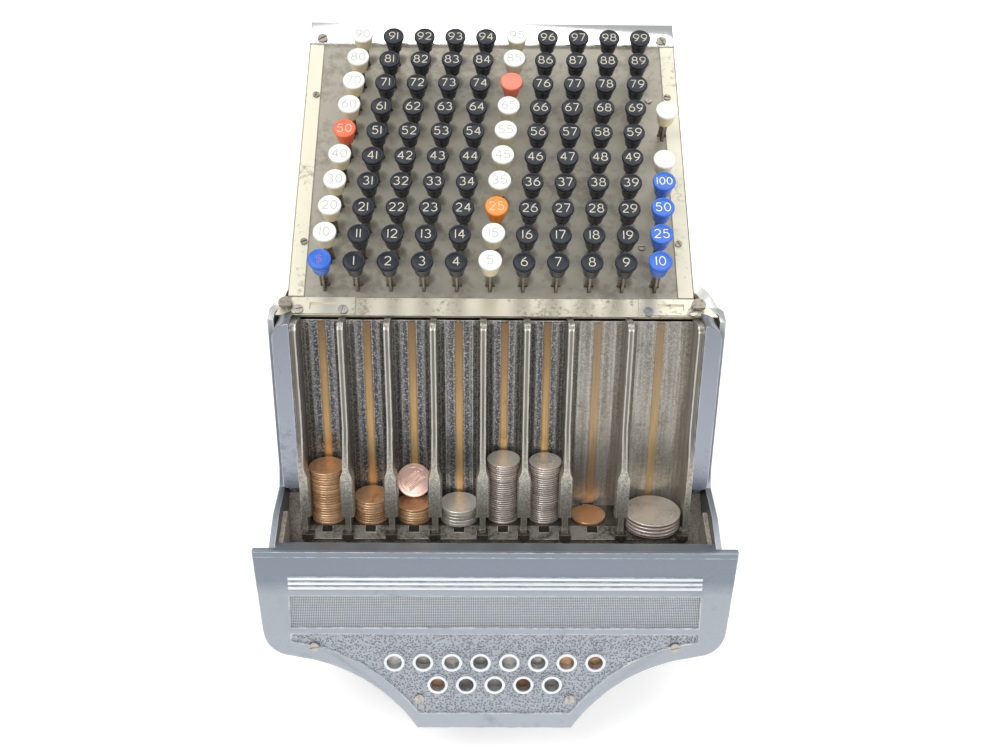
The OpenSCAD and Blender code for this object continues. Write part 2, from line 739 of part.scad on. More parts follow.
module hopper_front_plate() {
    panel_w = plate_w - 36;
    color("lightsteelblue") plate_frame() difference() {
        union() {
            difference() {
                along_y(0, plate_t) polygon(full_plate(0));
                // Sunk panel across the middle, left bare
                translate([-panel_w / 2, -1, -44.5]) cube([panel_w, 1 + panel_sink, 18.7]);
                // Sunk field that follows the lower outline
                intersection() {
                    along_y(-1, 1 + panel_sink) polygon(full_plate(8));
                    translate([-panel_w / 2, -1, -plate_h + 9]) cube([panel_w, 3, plate_h - 57.2]);
                }
            }
            // Ribbed band
            for (i = [0:2]) translate([-panel_w / 2, -relief, -21.5 + 2.7 * i])
                cube([panel_w, relief + eps, 1.4]);
            // Top lip, and the flange turned in from it between the castings
            translate([-plate_w / 2 + 0.5, -relief, -3.2]) cube([plate_w - 1, relief + eps, 3.2]);
            translate([-inner_w / 2 + fit, plate_t - eps, -flange_t])
                cube([inner_w - 2 * fit, flange_l - plate_t + eps, flange_t]);
            for (p = windows) translate([p[0], panel_sink, p[1]]) rotate([90, 0, 0])
                cylinder(d = window_d + 2 * ring_w, h = relief + panel_sink);
        }
        for (p = windows) translate([p[0], plate_t + 1, p[1]]) rotate([90, 0, 0])
            cylinder(d = window_d, h = plate_t + relief + 2);
        for (sx = [-1, 1], p = plate_screws) translate([sx * p[0], plate_t + 1, p[1]])
            rotate([90, 0, 0]) cylinder(d = shank_d + 0.2, h = plate_t + 2);
    }
}

// A wedge of space between the front plate and the rear ramp of the hopper
module hopper_space(front_gap, rear_gap) {
    front_top = plate_pt(-plate_t - front_gap, 40);
    front_foot = plate_pt(-plate_t - front_gap, -plate_h - 0.1);
    rear_top = tray_pt(19 + rear_gap, -foot_plate_t - 2.5);
    rear_foot = front_foot + [mouth_l - rear_gap, 0];
    along_x(-body_w / 2, body_w) polygon([
        front_top, front_foot, rear_foot, rear_top, rear_top + [0, 60]
    ]);
}

module hopper_section(inset, width) {
    k = sin(plate_slope);
    intersection() {
        translate([0, plate_top_z]) polygon(steeper(full_plate(inset), k));
        translate([-width / 2, plate_top_z - plate_h]) square([width, plate_h - 1]);
    }
}

module hopper_funnel() {
    outer_w = inner_w - 2 * fit;
    rim_cut = tray_pt(36, 14)[1];
    ramp_in = tray_w / 2 + 1.5;
    ramp = [tray_pt(2, ramp_up), tray_pt(22.6, -9.6)];
    color("#cbbf9f") placed() difference() {
        union() {
            intersection() {
                along_y(-far / 2, far) hopper_section(2, outer_w);
                hopper_space(0.1, 0);
            }
            // Ramps beside the tray's foot
            for (sx = [-1, 1]) along_x(sx > 0 ? ramp_in : -outer_w / 2, outer_w / 2 - ramp_in)
                polygon([ramp[0], ramp[1], ramp[1] - [0, ramp_t + 1], ramp[0] - [0, ramp_t]]);
        }
        // Open corners above the ramps
        for (sx = [-1, 1]) along_x(sx > 0 ? ramp_in - 1 : -outer_w / 2 + hopper_t,
                outer_w / 2 - hopper_t - ramp_in + 1)
            polygon([ramp[0], ramp[1], ramp[1] + [0, 60], ramp[0] + [0, 60]]);
        intersection() {
            along_y(-far / 2 - 1, far + 2)
                hopper_section(2 + hopper_t, outer_w - 2 * hopper_t);
            hopper_space(-1, hopper_t * 1.4);
        }
        // Mouth at the foot, and the open top
        translate([-outlet_w / 2 + 5, -far, plate_top_z - plate_h * sin(plate_slope) - 1])
            cube([outlet_w - 10, far + plate_top_y - 27, 8]);
        translate([-far / 2, -far / 2, rim_cut - 6]) cube([far, far, far]);
        // Room for the tray's foot
        translate([0, tray_foot_y, tray_foot_z]) rotate([tray_slope - 90, 0, 0])
            translate([-tray_w / 2 - 2, -far / 2, -foot_plate_t - 1.5]) cube([tray_w + 4, far, far]);
    }
}

// ---- Screws, all of one pattern ----

module slotted_screws() {
    color("#8d8a80") {
        deck_frame() {
            for (i = [0:3]) translate([rail_screws[i][0], rail_screws[i][1], rail_t])
                screw(rail_t + deck_t, 20 + 50 * i, small_head_d);
            for (i = [0:1]) translate([plate_deck_screws[i][0], plate_deck_screws[i][1], 0])
                screw(deck_t, 70 * i, small_head_d);
            for (i = [0:1]) translate([bar_screws[i][0], bar_screws[i][1], bar_rise])
                screw(bar_rise + deck_t, 35 + 80 * i, bar_head_d);
            for (i = [0:3])
                translate([on_machine(bracket_screws[i][0]), bracket_screws[i][1], bracket_t])
                    screw(bracket_t + cross_t, 15 + 65 * i);
        }
        plate_frame() for (sx = [-1, 1], i = [0:1])
            translate([sx * plate_screws[i][0], i == 0 ? 0 : panel_sink, plate_screws[i][1]])
                rotate([90, 0, 0]) screw(plate_t - (i == 0 ? 0 : panel_sink), 80 * i + 10);
    }
}

// ---- Coin tray, in a frame with its channels upright ----

// Side view of a rib: a guide post at the foot, a taper, a rounded top and the sloping end
function rib_profile(depth, post) = concat(
    [[0.5, 0], [-post, 0], [-post, post_h - 7], [-depth, post_h + 12], [-depth, tray_len + 1.5]],
    [for (a = [15:15:90]) [-depth + 5 * (1 - cos(a)), tray_len + 1.5 + 4 * sin(a)]],
    [[-3, tray_top(3) - 0.1], [0.5, tray_top(-0.5)]]
);

// A lip beside the coins of a channel. It is cut back round the coins and flares out at its top
module post_lip(side, i) {
    r = coin_ds[i] / 2;
    half = r + coin_sides[i];
    reach = lip + (i == 7 ? lip_more : 0);
    middle = coin_out(i) + r;
    start = middle + sqrt(max(0, pow(r + lip_gap, 2) - pow(half - 0.6, 2)));
    full = post_h - 17.2;
    intersection() {
        translate([0, 0, lip_foot]) linear_extrude(post_h - lip_foot) difference() {
            polygon([
                [0, -start], [side * (rib_t / 2 + reach), -start],
                [side * (rib_t / 2 + reach), -post_l + 0.8],
                [side * (rib_t / 2 + reach - 0.8), -post_l], [0, -post_l]
            ]);
            translate([side * (rib_t / 2 + half), -middle]) circle(r = r + lip_gap, $fn = 96);
        }
        along_y(-post_l - 1, post_l + 2) polygon(concat(
            [[-side, 0], [side * (rib_t / 2 + reach), 0]],
            [for (k = [0:8]) [side * (rib_t / 2 + reach * (1 + cos(22.5 * k)) / 2), full + 1.15 * k]],
            [[-side, full + 9.2]]
        ));
    }
}

module coin_tray() {
    color("#9a978d") tray_frame() difference() {
        union() {
            along_x(-tray_w / 2, tray_w) polygon([
                [0, 0], [tray_back_t, 0], [tray_back_t, tray_top(-tray_back_t)], [0, tray_top(0)]
            ]);
            for (sx = [-1, 1])
                along_x(sx > 0 ? tray_in / 2 : -tray_in / 2 - end_t, end_t)
                    polygon(rib_profile(rib_l + 2, post_l));
            translate([-tray_in / 2 - rib_t / 2, 0, 0]) post_lip(1, 0);
            for (i = [1:columns - 1]) {
                x = -tray_in / 2 + run(i) - rib_t;
                along_x(x, rib_t) polygon(rib_profile(rib_l, post_l));
                translate([x + rib_t / 2, 0, 0]) {
                    post_lip(-1, i - 1);
                    post_lip(1, i);
                }
            }
            // Slanted facets in the corners of each channel
            for (i = [0:columns - 1]) {
                half = coin_ds[i] / 2 + coin_sides[i];
                for (sx = [-1, 1]) translate([channel_x(i) + sx * half, 0, 3.6])
                    linear_extrude(tray_len - 5)
                        polygon([[0, 0.5], [-sx * 4, 0.5], [-sx * 4, 0], [0, -3]]);
            }
        }
        for (i = [0:columns - 1]) translate([coin_x(i) - finger_w / 2 - 0.5, -1, -1])
            cube([finger_w + 1, tray_back_t + 2, finger_t + 1.5]);
    }
}

module tray_wear_strips() {
    color("#b08a3e") tray_frame() for (i = [0:columns - 1])
        translate([channel_x(i) - strip_w / 2, -strip_t, 2.6])
            cube([strip_w, strip_t, tray_len - 3.6]);
}

// Middles of the guide posts, and of the ears under them and under each end of the tray
posts = [for (i = [1:columns - 1]) -tray_in / 2 + run(i) - rib_t / 2];
ears = concat([-tray_w / 2 + ear_w / 2], posts, [tray_w / 2 - ear_w / 2]);
feet = concat([-tray_w / 2 + end_t / 2], posts, [tray_w / 2 - end_t / 2]);

// A level floor under the coins, a thin front that slopes down, and ears under the posts
module tray_foot_plate() {
    back = nose_rest - nose_r - nose_gap + 0.5;
    slant = atan(apron_drop / apron_l);
    tip = [-floor_l - apron_l, -apron_drop];
    under = tip + apron_t * [sin(slant), -cos(slant)];
    crown = under[1] + 1.2;
    color("#8f8b80") tray_frame() difference() {
        union() {
            along_x(-tray_w / 2, tray_w) polygon([
                [back, 0], [-floor_l, 0], tip, under,
                under - (foot_plate_t + under[1]) * [1 / tan(slant), 1],
                [back, -foot_plate_t]
            ]);
            for (x = ears) translate([x, 0, -ear_h + ear_w / 2]) along_y(-28.6, 4.6) {
                difference() {
                    circle(d = ear_w);
                    translate([-ear_w, 0]) square([2 * ear_w, ear_w]);
                }
                translate([-ear_w / 2, 0]) square([ear_w, ear_h - ear_w / 2 - 1]);
            }
            // Feet of the ribs on the sloping front
            for (x = feet) translate([x - rib_t / 2, -26, -foot_plate_t])
                cube([rib_t, 6, foot_plate_t]);
        }
        for (i = [0:columns - 1]) {
            // Arch in the front edge between two ears
            middle = (ears[i] + ears[i + 1]) / 2;
            span = (ears[i + 1] - ears[i] - ear_w) / 2;
            rise = crown + ear_h;
            r = (pow(span, 2) + pow(rise, 2)) / (2 * rise);
            translate([middle, -24, crown - r]) rotate([90, 0, 0]) cylinder(r = r, h = 9, $fn = 96);
            // Square hole in front of the smaller coins' edge
            translate([channel_x(i) - hole_w / 2, -floor_l - 3.2, -foot_plate_t - 3])
                cube([hole_w, 3.4, foot_plate_t + 4]);
        }
    }
}

// A handle: a bar beside the tray whose outer top corner is round
module handle(sx) {
    x0 = tray_w / 2;
    z1 = handle_top;
    z0 = z1 - handle_h;
    r = handle_r;
    tray_frame() along_y(-6 - handle_l, handle_l) polygon(concat(
        [[sx * x0, z0], [sx * x0, z1]],
        [for (a = [90:-10:0]) [sx * (x0 + handle_w - r + r * cos(a)), z1 - r + r * sin(a)]],
        [for (a = [0:-22.5:-90]) [sx * (x0 + handle_w - 3 + 3 * cos(a)), z0 + 3 + 3 * sin(a)]]
    ));
}

module left_handle() {
    color("lightsteelblue") handle(-1);
}

module right_handle() {
    color("lightsteelblue") handle(1);
}

module handle_studs() {
    color("silver") tray_frame() for (sx = [-1, 1])
        translate([sx * (tray_w / 2 + handle_w / 2 - 0.5), -14, handle_top - handle_h - stud_h])
            rotate_extrude() polygon([
                [0, 0], [stud_d / 2 - 1.5, 0], [stud_d / 2, 1.5], [stud_d / 2, stud_h - 2.5],
                [stud_d / 2 - 1.5, stud_h - 1], [stud_d / 2 - 1.5, stud_h], [0, stud_h]
            ]);
}

// Brass pointers that lie on the channel floor above the coins of four channels
module coin_pointers() {
    color("#b08a3e") tray_frame() for (i = [1, 3, 6, 7])
        translate([channel_x(i), -strip_t, coin_counts[i] * coin_ts[i] + 4]) rotate([90, 0, 0])
            linear_extrude(0.25) polygon([[-1.1, 7], [1.1, 7], [0.9, 0], [0, -1.8], [-0.9, 0]]);
}

module coin(d, t) {
    cylinder(d = d, h = t - coin_play, $fn = 64);
}

// The coins above the lowest one of a stack; the lowest one lies on the ejector's path
module stack(i) {
    d = next_ds[i];
    if (coin_counts[i] > 1)
        for (j = [1:coin_counts[i] - 1])
            translate([coin_x(i), -coin_out(i) - d / 2, j * coin_ts[i]]) coin(d, coin_ts[i]);
}

module pennies() {
    color("#a4603a") tray_frame() {
        for (i = [0:2]) stack(i);
        // One penny stands on its edge on the third stack and leans on the channel floor
        translate([
            channel_x(2) - 0.4, -strip_t - 0.05 - penny_d / 2 * sin(penny_lean),
            coin_counts[2] * penny_t + 0.03 + penny_d / 2 * cos(penny_lean)
        ]) rotate([90 - penny_lean, 0, 0]) coin(penny_d, penny_t);
    }
}

module nickels() {
    color("silver") tray_frame() stack(3);
}

module dimes() {
    color("silver") tray_frame() for (i = [4, 5]) stack(i);
}

module half_dollars() {
    color("silver") tray_frame() stack(7);
}

// ---- Kick levers and ejectors, one of each to a channel ----

module lever_shaft() {
    color("silver") placed() translate([-body_w / 2 + 0.6, shaft_yz[0], shaft_yz[1]])
        rotate([0, 90, 0]) cylinder(d = shaft_d, h = body_w - 1.2);
}

module shaft_bushes() {
    color("#b08a3e") placed() for (sx = [-1, 1])
        translate([sx * (body_w - boss_l) / 2 - boss_l / 2, shaft_yz[0], shaft_yz[1]])
            rotate([0, 90, 0]) difference() {
                cylinder(d = shaft_d + 2 * bush_t, h = boss_l);
                translate([0, 0, -1]) cylinder(d = shaft_d + 2 * bush_gap, h = boss_l + 2);
            }
}

// A bell crank: a hub on the shaft, an arm down to the ejector and an arm to the back
module kick_lever(i) {
    arm_l = sqrt(pow(nose_rest - shaft_back, 2) + pow(shaft_rise - nose_z, 2));
    tilt = atan((nose_rest - shaft_back) / (shaft_rise - nose_z));
    rear_angle = deck_slope + 90 - tray_slope;
    color("#6f6a60") tray_frame() translate([0, shaft_back, shaft_rise])
        along_x(coin_x(i) - lever_t / 2, lever_t) difference() {
            union() {
                circle(d = hub_d);
                rotate(tilt) {
                    translate([-arm_w / 2, -arm_l]) square([arm_w, arm_l]);
                    translate([0, -arm_l]) circle(r = nose_r);
                }
                rotate(rear_angle) translate([0, -arm_w / 2]) square([rear_arm, arm_w]);
            }
            circle(d = shaft_d + 2 * shaft_gap);
        }
}

// A slide with a thin finger behind the lowest coin, and that coin itself
module ejector(i) {
    color("#8d8a80") tray_frame() {
        translate([coin_x(i) - finger_w / 2, -coin_out(i) + 0.2, 0])
            cube([finger_w, finger_back + coin_out(i), finger_t]);
        translate([coin_x(i) - finger_w / 2 - 1, finger_back, 0])
            cube([finger_w + 2, tail_l, tail_h]);
    }
    color(i < 3 || i == 6 ? "#a4603a" : "silver") tray_frame()
        translate([coin_x(i), -coin_out(i) - next_ds[i] / 2, 0]) coin(next_ds[i], coin_ts[i]);
}

base_plate();
rubber_feet();
left_side_casting();
right_side_casting();
rear_cover();
keyboard_deck();
deck_back_bar();
deck_side_rails();
stem_guide_plate();
front_cross_plate();
latch_brackets();
tray_stop_studs();
slotted_screws();
hopper_front_plate();
hopper_funnel();
lever_shaft();
shaft_bushes();
for (r = [0:rows - 1]) key_row(r);
for (i = [0:len(right_rows) - 1]) right_key(i);
coin_tray();
tray_wear_strips();
tray_foot_plate();
left_handle();
right_handle();
handle_studs();
coin_pointers();
pennies();
nickels();
dimes();
half_dollars();
for (i = [0:columns - 1]) kick_lever(i);
for (i = [0:columns - 1]) ejector(i);
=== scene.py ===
# %% [markdown]
# # Dressing a coin changer
# A coin changer stands on a shop counter. A clerk presses one key, and the right coins drop from
# eight channels into a hopper at the front. The CAD model already gives every piece its place and
# size. This lesson adds what the eye looks for: worn metal, moulded caps with numbers, coins with
# rims. It keeps each CAD piece whose shape is right and makes new surfaces where more detail shows.

# %% Load the frame
import json
import math

import bmesh
import bpy
import numpy as np
from mathutils import Matrix, Vector

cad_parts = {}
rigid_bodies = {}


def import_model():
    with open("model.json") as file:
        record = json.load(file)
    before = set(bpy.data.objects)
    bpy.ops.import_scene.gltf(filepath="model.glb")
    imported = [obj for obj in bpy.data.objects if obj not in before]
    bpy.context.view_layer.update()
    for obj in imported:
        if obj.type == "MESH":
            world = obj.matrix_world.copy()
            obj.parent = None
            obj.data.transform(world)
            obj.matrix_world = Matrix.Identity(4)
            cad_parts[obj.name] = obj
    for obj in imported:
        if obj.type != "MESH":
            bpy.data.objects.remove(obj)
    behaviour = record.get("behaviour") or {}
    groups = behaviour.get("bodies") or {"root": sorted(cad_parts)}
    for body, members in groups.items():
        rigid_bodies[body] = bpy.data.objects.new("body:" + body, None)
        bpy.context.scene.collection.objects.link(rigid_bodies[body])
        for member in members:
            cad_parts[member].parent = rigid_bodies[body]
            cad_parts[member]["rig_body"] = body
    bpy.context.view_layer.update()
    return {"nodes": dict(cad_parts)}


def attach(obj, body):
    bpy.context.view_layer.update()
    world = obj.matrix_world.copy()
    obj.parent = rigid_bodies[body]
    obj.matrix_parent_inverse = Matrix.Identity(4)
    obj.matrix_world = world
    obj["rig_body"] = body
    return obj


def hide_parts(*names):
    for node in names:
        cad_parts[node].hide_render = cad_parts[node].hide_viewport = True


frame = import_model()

# %% [markdown]
# ## Sizes
# All lengths below are in millimetres, as on a workshop drawing. The machine has three sloping
# frames: the keyboard, the coin tray and the front plate. A new piece is drawn flat in one of
# them and is then turned and moved into the machine, in metres, as whole arrays of points.

# %% Driving sizes of the machine, in millimetres
MM = 0.001
deck_h = 220.0
deck_slope = math.radians(20)
deck_shift = -3.0
deck_len = 184.0
cover_t = 1.6
tray_slope = math.radians(73)
tray_foot = (-41.0, -115.6)
plate_slope = math.radians(65.2)
plate_top = (-94.2, -90.1)
plate_h = 105.5
front_y = plate_top[0] - plate_h * math.cos(plate_slope)
back_y = deck_len * math.cos(deck_slope) + 1 + cover_t
mid_y = (front_y + back_y) / 2


def turned(points, angle, y, z, x=0.0):
    """Turns points about X by an angle, moves them by (x, y, z) and gives metres."""
    px, py, pz = np.moveaxis(np.asarray(points, float), -1, 0)
    c, s = math.cos(angle), math.sin(angle)
    return np.stack([px + x, c * py - s * pz + y, s * py + c * pz + z], -1) * MM


def on_deck(points):
    """From the keyboard's own frame: Y runs up the slope, Z stands on the plate."""
    return turned(points, deck_slope, -mid_y, deck_h, deck_shift)


def on_tray(points):
    """From the tray's frame: -Y points out of the channels, Z runs up them."""
    return turned(points, tray_slope - math.pi / 2, tray_foot[0] - mid_y, tray_foot[1] + deck_h)


def on_plate(points):
    """From the front plate's frame: -Y points outwards, Z runs up from the top edge."""
    return turned(points, plate_slope - math.pi / 2, plate_top[0] - mid_y, plate_top[1] + deck_h)


print("middle of the machine lies", round(mid_y, 2), "mm behind the keyboard's front edge")

# %% [markdown]
# ## From arrays to meshes
# Every new solid here is a stack of closed outlines: a lathe turns a profile into rings, a stem is
# one outline repeated, a rib changes its outline on the way up. One function joins such a stack
# with quads and closes its two ends, so all solids come out closed and facing outwards.


# %% Solids from stacks of outlines
def volume(points, faces):
    """Signed volume: the sum of the tetrahedra from the origin to each fan triangle."""
    total = 0.0
    for f in faces:
        a = points[f[:, :1]]
        b, c = points[f[:, 1:-1]], points[f[:, 2:]]
        total += np.einsum("fki,fki->", np.cross(b, c), np.broadcast_to(a, b.shape))
    return total / 6


def stacked(rings):
    """Joins rings (rows, points, 3) with quads and closes both ends with one face each."""
    rows, cols = rings.shape[:2]
    r, c = np.meshgrid(np.arange(rows - 1), np.arange(cols), indexing="ij")
    a, b = r * cols + c, r * cols + (c + 1) % cols
    sides = np.stack([a, b, b + cols, a + cols], -1).reshape(-1, 4)
    ends = [np.arange(cols)[::-1][None], np.arange(cols)[None] + (rows - 1) * cols]
    points = rings.reshape(-1, 3).astype(float)
    faces = [sides] + ends
    if volume(points, faces) < 0:
        faces = [f[:, ::-1] for f in faces]
    return points, faces


def lathe(profile, segments):
    """Turns a profile of (radius, height) about Z: x = r cos a, y = r sin a, z = h."""
    profile = np.asarray(profile, float)
    a = np.arange(segments) * 2 * np.pi / segments
    r, h = profile[:, :1], profile[:, 1:]
    return stacked(np.stack([r * np.cos(a), r * np.sin(a), h + 0 * a], -1))


def prism(outline, heights):
    """Repeats an outline (n, 2) at each height."""
    outline = np.asarray(outline, float)
    rings = [np.c_[outline, np.full(len(outline), h)] for h in heights]
    return stacked(np.array(rings))


def joined(shapes):
    """Puts several shapes into one, with their faces renumbered."""
    points, faces, start = [], [], 0
    for p, f in shapes:
        points.append(p)
        faces += [g + start for g in f]
        start += len(p)
    return np.concatenate(points), faces


def copies(shape, places):
    """The same shape at each place (n, 3)."""
    return joined([(shape[0] + np.asarray(p, float), shape[1]) for p in places])


# %% Pieces from solids
def new_object(name, data):
    """An object in the scene, with its mesh, camera or light."""
    obj = bpy.data.objects.new(name, data)
    bpy.context.scene.collection.objects.link(obj)
    return obj


def placed(where, shape):
    """A shape carried from one of the sloping frames into the machine."""
    return where(shape[0]), shape[1]


def face_count(shape):
    """The number of faces of a shape."""
    return sum(len(f) for f in shape[1])


def piece(name, shape, materials, body, node=(), parts=None, tones=None, sharp=38):
    """A Blender object from points in metres. parts gives each face's material number."""
    points, faces = shape
    mesh = bpy.data.meshes.new(name)
    mesh.from_pydata(points.astype(np.float32), [], [corners for f in faces for corners in f.tolist()])
    if parts is not None:
        mesh.polygons.foreach_set("material_index", np.asarray(parts, np.int32))
    if tones is not None:
        tone = mesh.attributes.new("tone", "FLOAT", "POINT")
        tone.data.foreach_set("value", np.asarray(tones, np.float32))
    mesh.validate()
    mesh.shade_smooth()
    mesh.set_sharp_from_angle(angle=math.radians(sharp))
    for m in materials:
        mesh.materials.append(m)
    obj = new_object(name, mesh)
    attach(obj, body)
    if node:
        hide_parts(*([node] if isinstance(node, str) else node))


def softened(node, width, material, segments):
    """A copy of a CAD node with its loose triangles merged and its edges rounded."""
    source = frame["nodes"][node]
    mesh = source.data.copy()
    work = bmesh.new()
    work.from_mesh(mesh)
    bmesh.ops.remove_doubles(work, verts=work.verts, dist=2e-6)
    bmesh.ops.dissolve_limit(work, angle_limit=math.radians(0.6), verts=work.verts,
                             edges=work.edges, delimit={"NORMAL"})
    work.to_mesh(mesh)
    work.free()
    mesh.shade_smooth()
    mesh.set_sharp_from_angle(angle=math.radians(38))
    mesh.materials.clear()
    mesh.materials.append(material)
    obj = new_object(node + "_rounded", mesh)
    bevel = obj.modifiers.new("rounded_edges", "BEVEL")
    bevel.width = width * MM
    bevel.segments = segments
    bevel.limit_method = "ANGLE"
    bevel.angle_limit = math.radians(30)
    bevel.harden_normals = True
    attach(obj, source["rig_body"])
    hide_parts(node)


# %% [markdown]
# ## Shader tools
# A material is a small network. These helpers place a node, fill its sockets by name and link
# whatever is itself a socket, so that each finish below reads as one short recipe.


# %% Shader helpers
def fill(tree, socket, value):
    """Links a socket to another one, or gives it a number, a vector or a colour."""
    if isinstance(value, bpy.types.NodeSocket):
        tree.links.new(value, socket)
    else:
        socket.default_value = (*value, 1) if socket.type == "RGBA" else value


def put(tree, kind, **sockets):
    """Adds a node. A name that is a socket is filled or linked, any other is a setting."""
    new = tree.nodes.new("ShaderNode" + kind)
    for key, value in sockets.items():
        if key.lower() == key and hasattr(new, key):
            setattr(new, key, value)
        else:
            fill(tree, new.inputs[key.replace("_", " ")], value)
    return new


def calc(tree, operation, *values, clamp=False):
    """A Math node on numbers or sockets."""
    new = tree.nodes.new("ShaderNodeMath")
    new.operation = operation
    new.use_clamp = clamp
    for socket, value in zip(new.inputs, values):
        fill(tree, socket, value)
    return new.outputs[0]


def times(tree, a, b):
    """The product of two values."""
    return calc(tree, "MULTIPLY", a, b)


def minus(tree, a, b):
    """The difference of two values."""
    return calc(tree, "SUBTRACT", a, b)


def blend(tree, share, a, b):
    """Mixes two colours by a share."""
    new = tree.nodes.new("ShaderNodeMix")
    new.data_type = "RGBA"
    for number, value in ((0, share), (6, a), (7, b)):
        fill(tree, new.inputs[number], value)
    return new.outputs[2]


def layered(tree, colour, *layers):
    """Lays (share, colour) pairs over a colour, one after another."""
    for share, tint in layers:
        colour = blend(tree, share, colour, tint)
    return colour


def span(tree, value, low, high, to_low=0.0, to_high=1.0):
    """Maps a value from one range to another, held at both ends."""
    new = put(tree, "MapRange", clamp=True, Value=value, From_Min=low, From_Max=high,
              To_Min=to_low, To_Max=to_high)
    return new.outputs["Result"]


def group(name, inputs, outputs, build):
    """A shader node group. inputs and outputs are {name: default}; build fills the tree."""
    tree = bpy.data.node_groups.new(name, "ShaderNodeTree")
    kinds = {float: "NodeSocketFloat", tuple: "NodeSocketColor"}
    for key, value in inputs.items():
        socket = tree.interface.new_socket(key, in_out="INPUT", socket_type=kinds[type(value)])
        socket.default_value = (*value, 1) if isinstance(value, tuple) else value
    for key, value in outputs.items():
        tree.interface.new_socket(key, in_out="OUTPUT", socket_type=kinds[type(value)])
    got, out = tree.nodes.new("NodeGroupInput"), tree.nodes.new("NodeGroupOutput")
    for key, socket in build(tree, got.outputs).items():
        tree.links.new(socket, out.inputs[key])
    return tree


def use(tree, name, **sockets):
    """Places a node group and fills or links its inputs. Gives its outputs."""
    new = tree.nodes.new("ShaderNodeGroup")
    new.node_tree = bpy.data.node_groups[name]
    for key, value in sockets.items():
        fill(tree, new.inputs[key], value)
    return new.outputs


def finish(name, build, **constants):
    """A material with one Principled BSDF. Constants sit on its own sockets."""
    material = bpy.data.materials.new(name)
    material.use_nodes = True
    tree = material.node_tree
    shader = tree.nodes["Principled BSDF"]
    for key, value in constants.items():
        shader.inputs[key.replace("_", " ")].default_value = value
    for key, socket in build(tree).items():
        tree.links.new(socket, shader.inputs[key.replace("_", " ")])
    return material


def here(tree):
    """The point's Object coordinates."""
    return put(tree, "TexCoord").outputs["Object"]


def noise(tree, scale, detail=2.0, rough=0.5, where=None):
    """Noise over the Object coordinates, or over another vector."""
    where = here(tree) if where is None else where
    return put(tree, "TexNoise", Vector=where, Scale=scale, Detail=detail, Roughness=rough).outputs["Fac"]


def dot_product(tree, a, b):
    """The dot product of a vector socket and a socket or a fixed vector."""
    dot = tree.nodes.new("ShaderNodeVectorMath")
    dot.operation = "DOT_PRODUCT"
    for socket, value in zip(dot.inputs, (a, b)):
        fill(tree, socket, value)
    return dot.outputs["Value"]


def measured(tree, origin, direction):
    """Distance in millimetres from a point of the object along a unit direction."""
    moved = put(tree, "Mapping", Vector=here(tree), Location=tuple(-np.asarray(origin, float)))
    return calc(tree, "DIVIDE", dot_product(tree, moved.outputs[0], direction), MM)


def slope_axes(tree, start, slope):
    """Millimetres across, up and out of a sloping face, from a point of it."""
    c, s = math.cos(slope), math.sin(slope)
    return [measured(tree, start, axis) for axis in ((1, 0, 0), (0, c, s), (0, -s, c))]


def bump(tree, height, strength, distance):
    """A normal from a height, in metres of distance."""
    return put(tree, "Bump", Strength=strength, Distance=distance, Height=height).outputs["Normal"]


# %% [markdown]
# ## Shared effects
# Old metal is never one colour. Dirt gathers in patches, handling polishes the corners, and a
# casting keeps a fine grain. The bright colour on the corners is partly that polish and partly a
# painted highlight. Each effect is a node group with named inputs, so that every material can
# call it with its own strength. All of them read Object coordinates, which stay with the metal in
# every view.


# %% Effect: patches of dirt
def patches(tree, got):
    """A weighted sum of two noises of different size gives patches with specks inside them."""
    large = noise(tree, got["Scale"], 5.0, 0.62)
    small = noise(tree, times(tree, got["Scale"], 9.0), 3.0, 0.6)
    both = calc(tree, "MULTIPLY_ADD", small, 0.45, times(tree, large, 0.55))
    low = minus(tree, 0.62, times(tree, got["Amount"], 0.22))
    mask = span(tree, both, low, calc(tree, "ADD", low, 0.12))
    return {"Colour": blend(tree, mask, got["Clean"], got["Dirt"]), "Mask": mask}


group("patches", {"Clean": (0.6, 0.6, 0.6), "Dirt": (0.2, 0.18, 0.15), "Scale": 40.0, "Amount": 0.5},
      {"Colour": (0, 0, 0), "Mask": 0.0}, patches)


# %% Effect: worn edges with a painted highlight
def worn_and_highlit_edges(tree, got):
    """Where a rounded normal departs from the true one there is an edge; noise breaks it up."""
    rounded = put(tree, "Bevel", samples=4, Radius=got["Width"]).outputs["Normal"]
    true = put(tree, "NewGeometry").outputs["Normal"]
    edge = span(tree, dot_product(tree, rounded, true), 0.995, 0.9)
    broken = span(tree, noise(tree, 180.0, 3.0), 0.3, 0.6)
    mask = calc(tree, "MULTIPLY", edge, broken, clamp=True)
    return {"Mask": times(tree, mask, got["Amount"])}


group("worn_and_highlit_edges", {"Width": 0.0006, "Amount": 1.0}, {"Mask": 0.0}, worn_and_highlit_edges)


# %% Effect: streaks along one direction
def streaks(tree, got):
    """Noise drawn out along the slope of the tray: scaled far less along it than across."""
    turned_to = put(tree, "Mapping", Vector=here(tree), Rotation=(math.pi / 2 - tray_slope, 0, 0))
    drawn = put(tree, "Mapping", Vector=turned_to.outputs[0], Scale=(1, 1, 0.06)).outputs[0]
    return {"Value": span(tree, noise(tree, got["Scale"], 4.0, 0.7, drawn), 0.32, 0.68)}


group("streaks", {"Scale": 300.0}, {"Value": 0.0}, streaks)


# %% Effect: fine grain
def grain(tree, got):
    """Very small noise, for castings and brushed sheet."""
    return {"Height": noise(tree, got["Scale"])}


group("grain", {"Scale": 1800.0}, {"Height": 0.0}, grain)
print("effects", [g.name for g in bpy.data.node_groups])
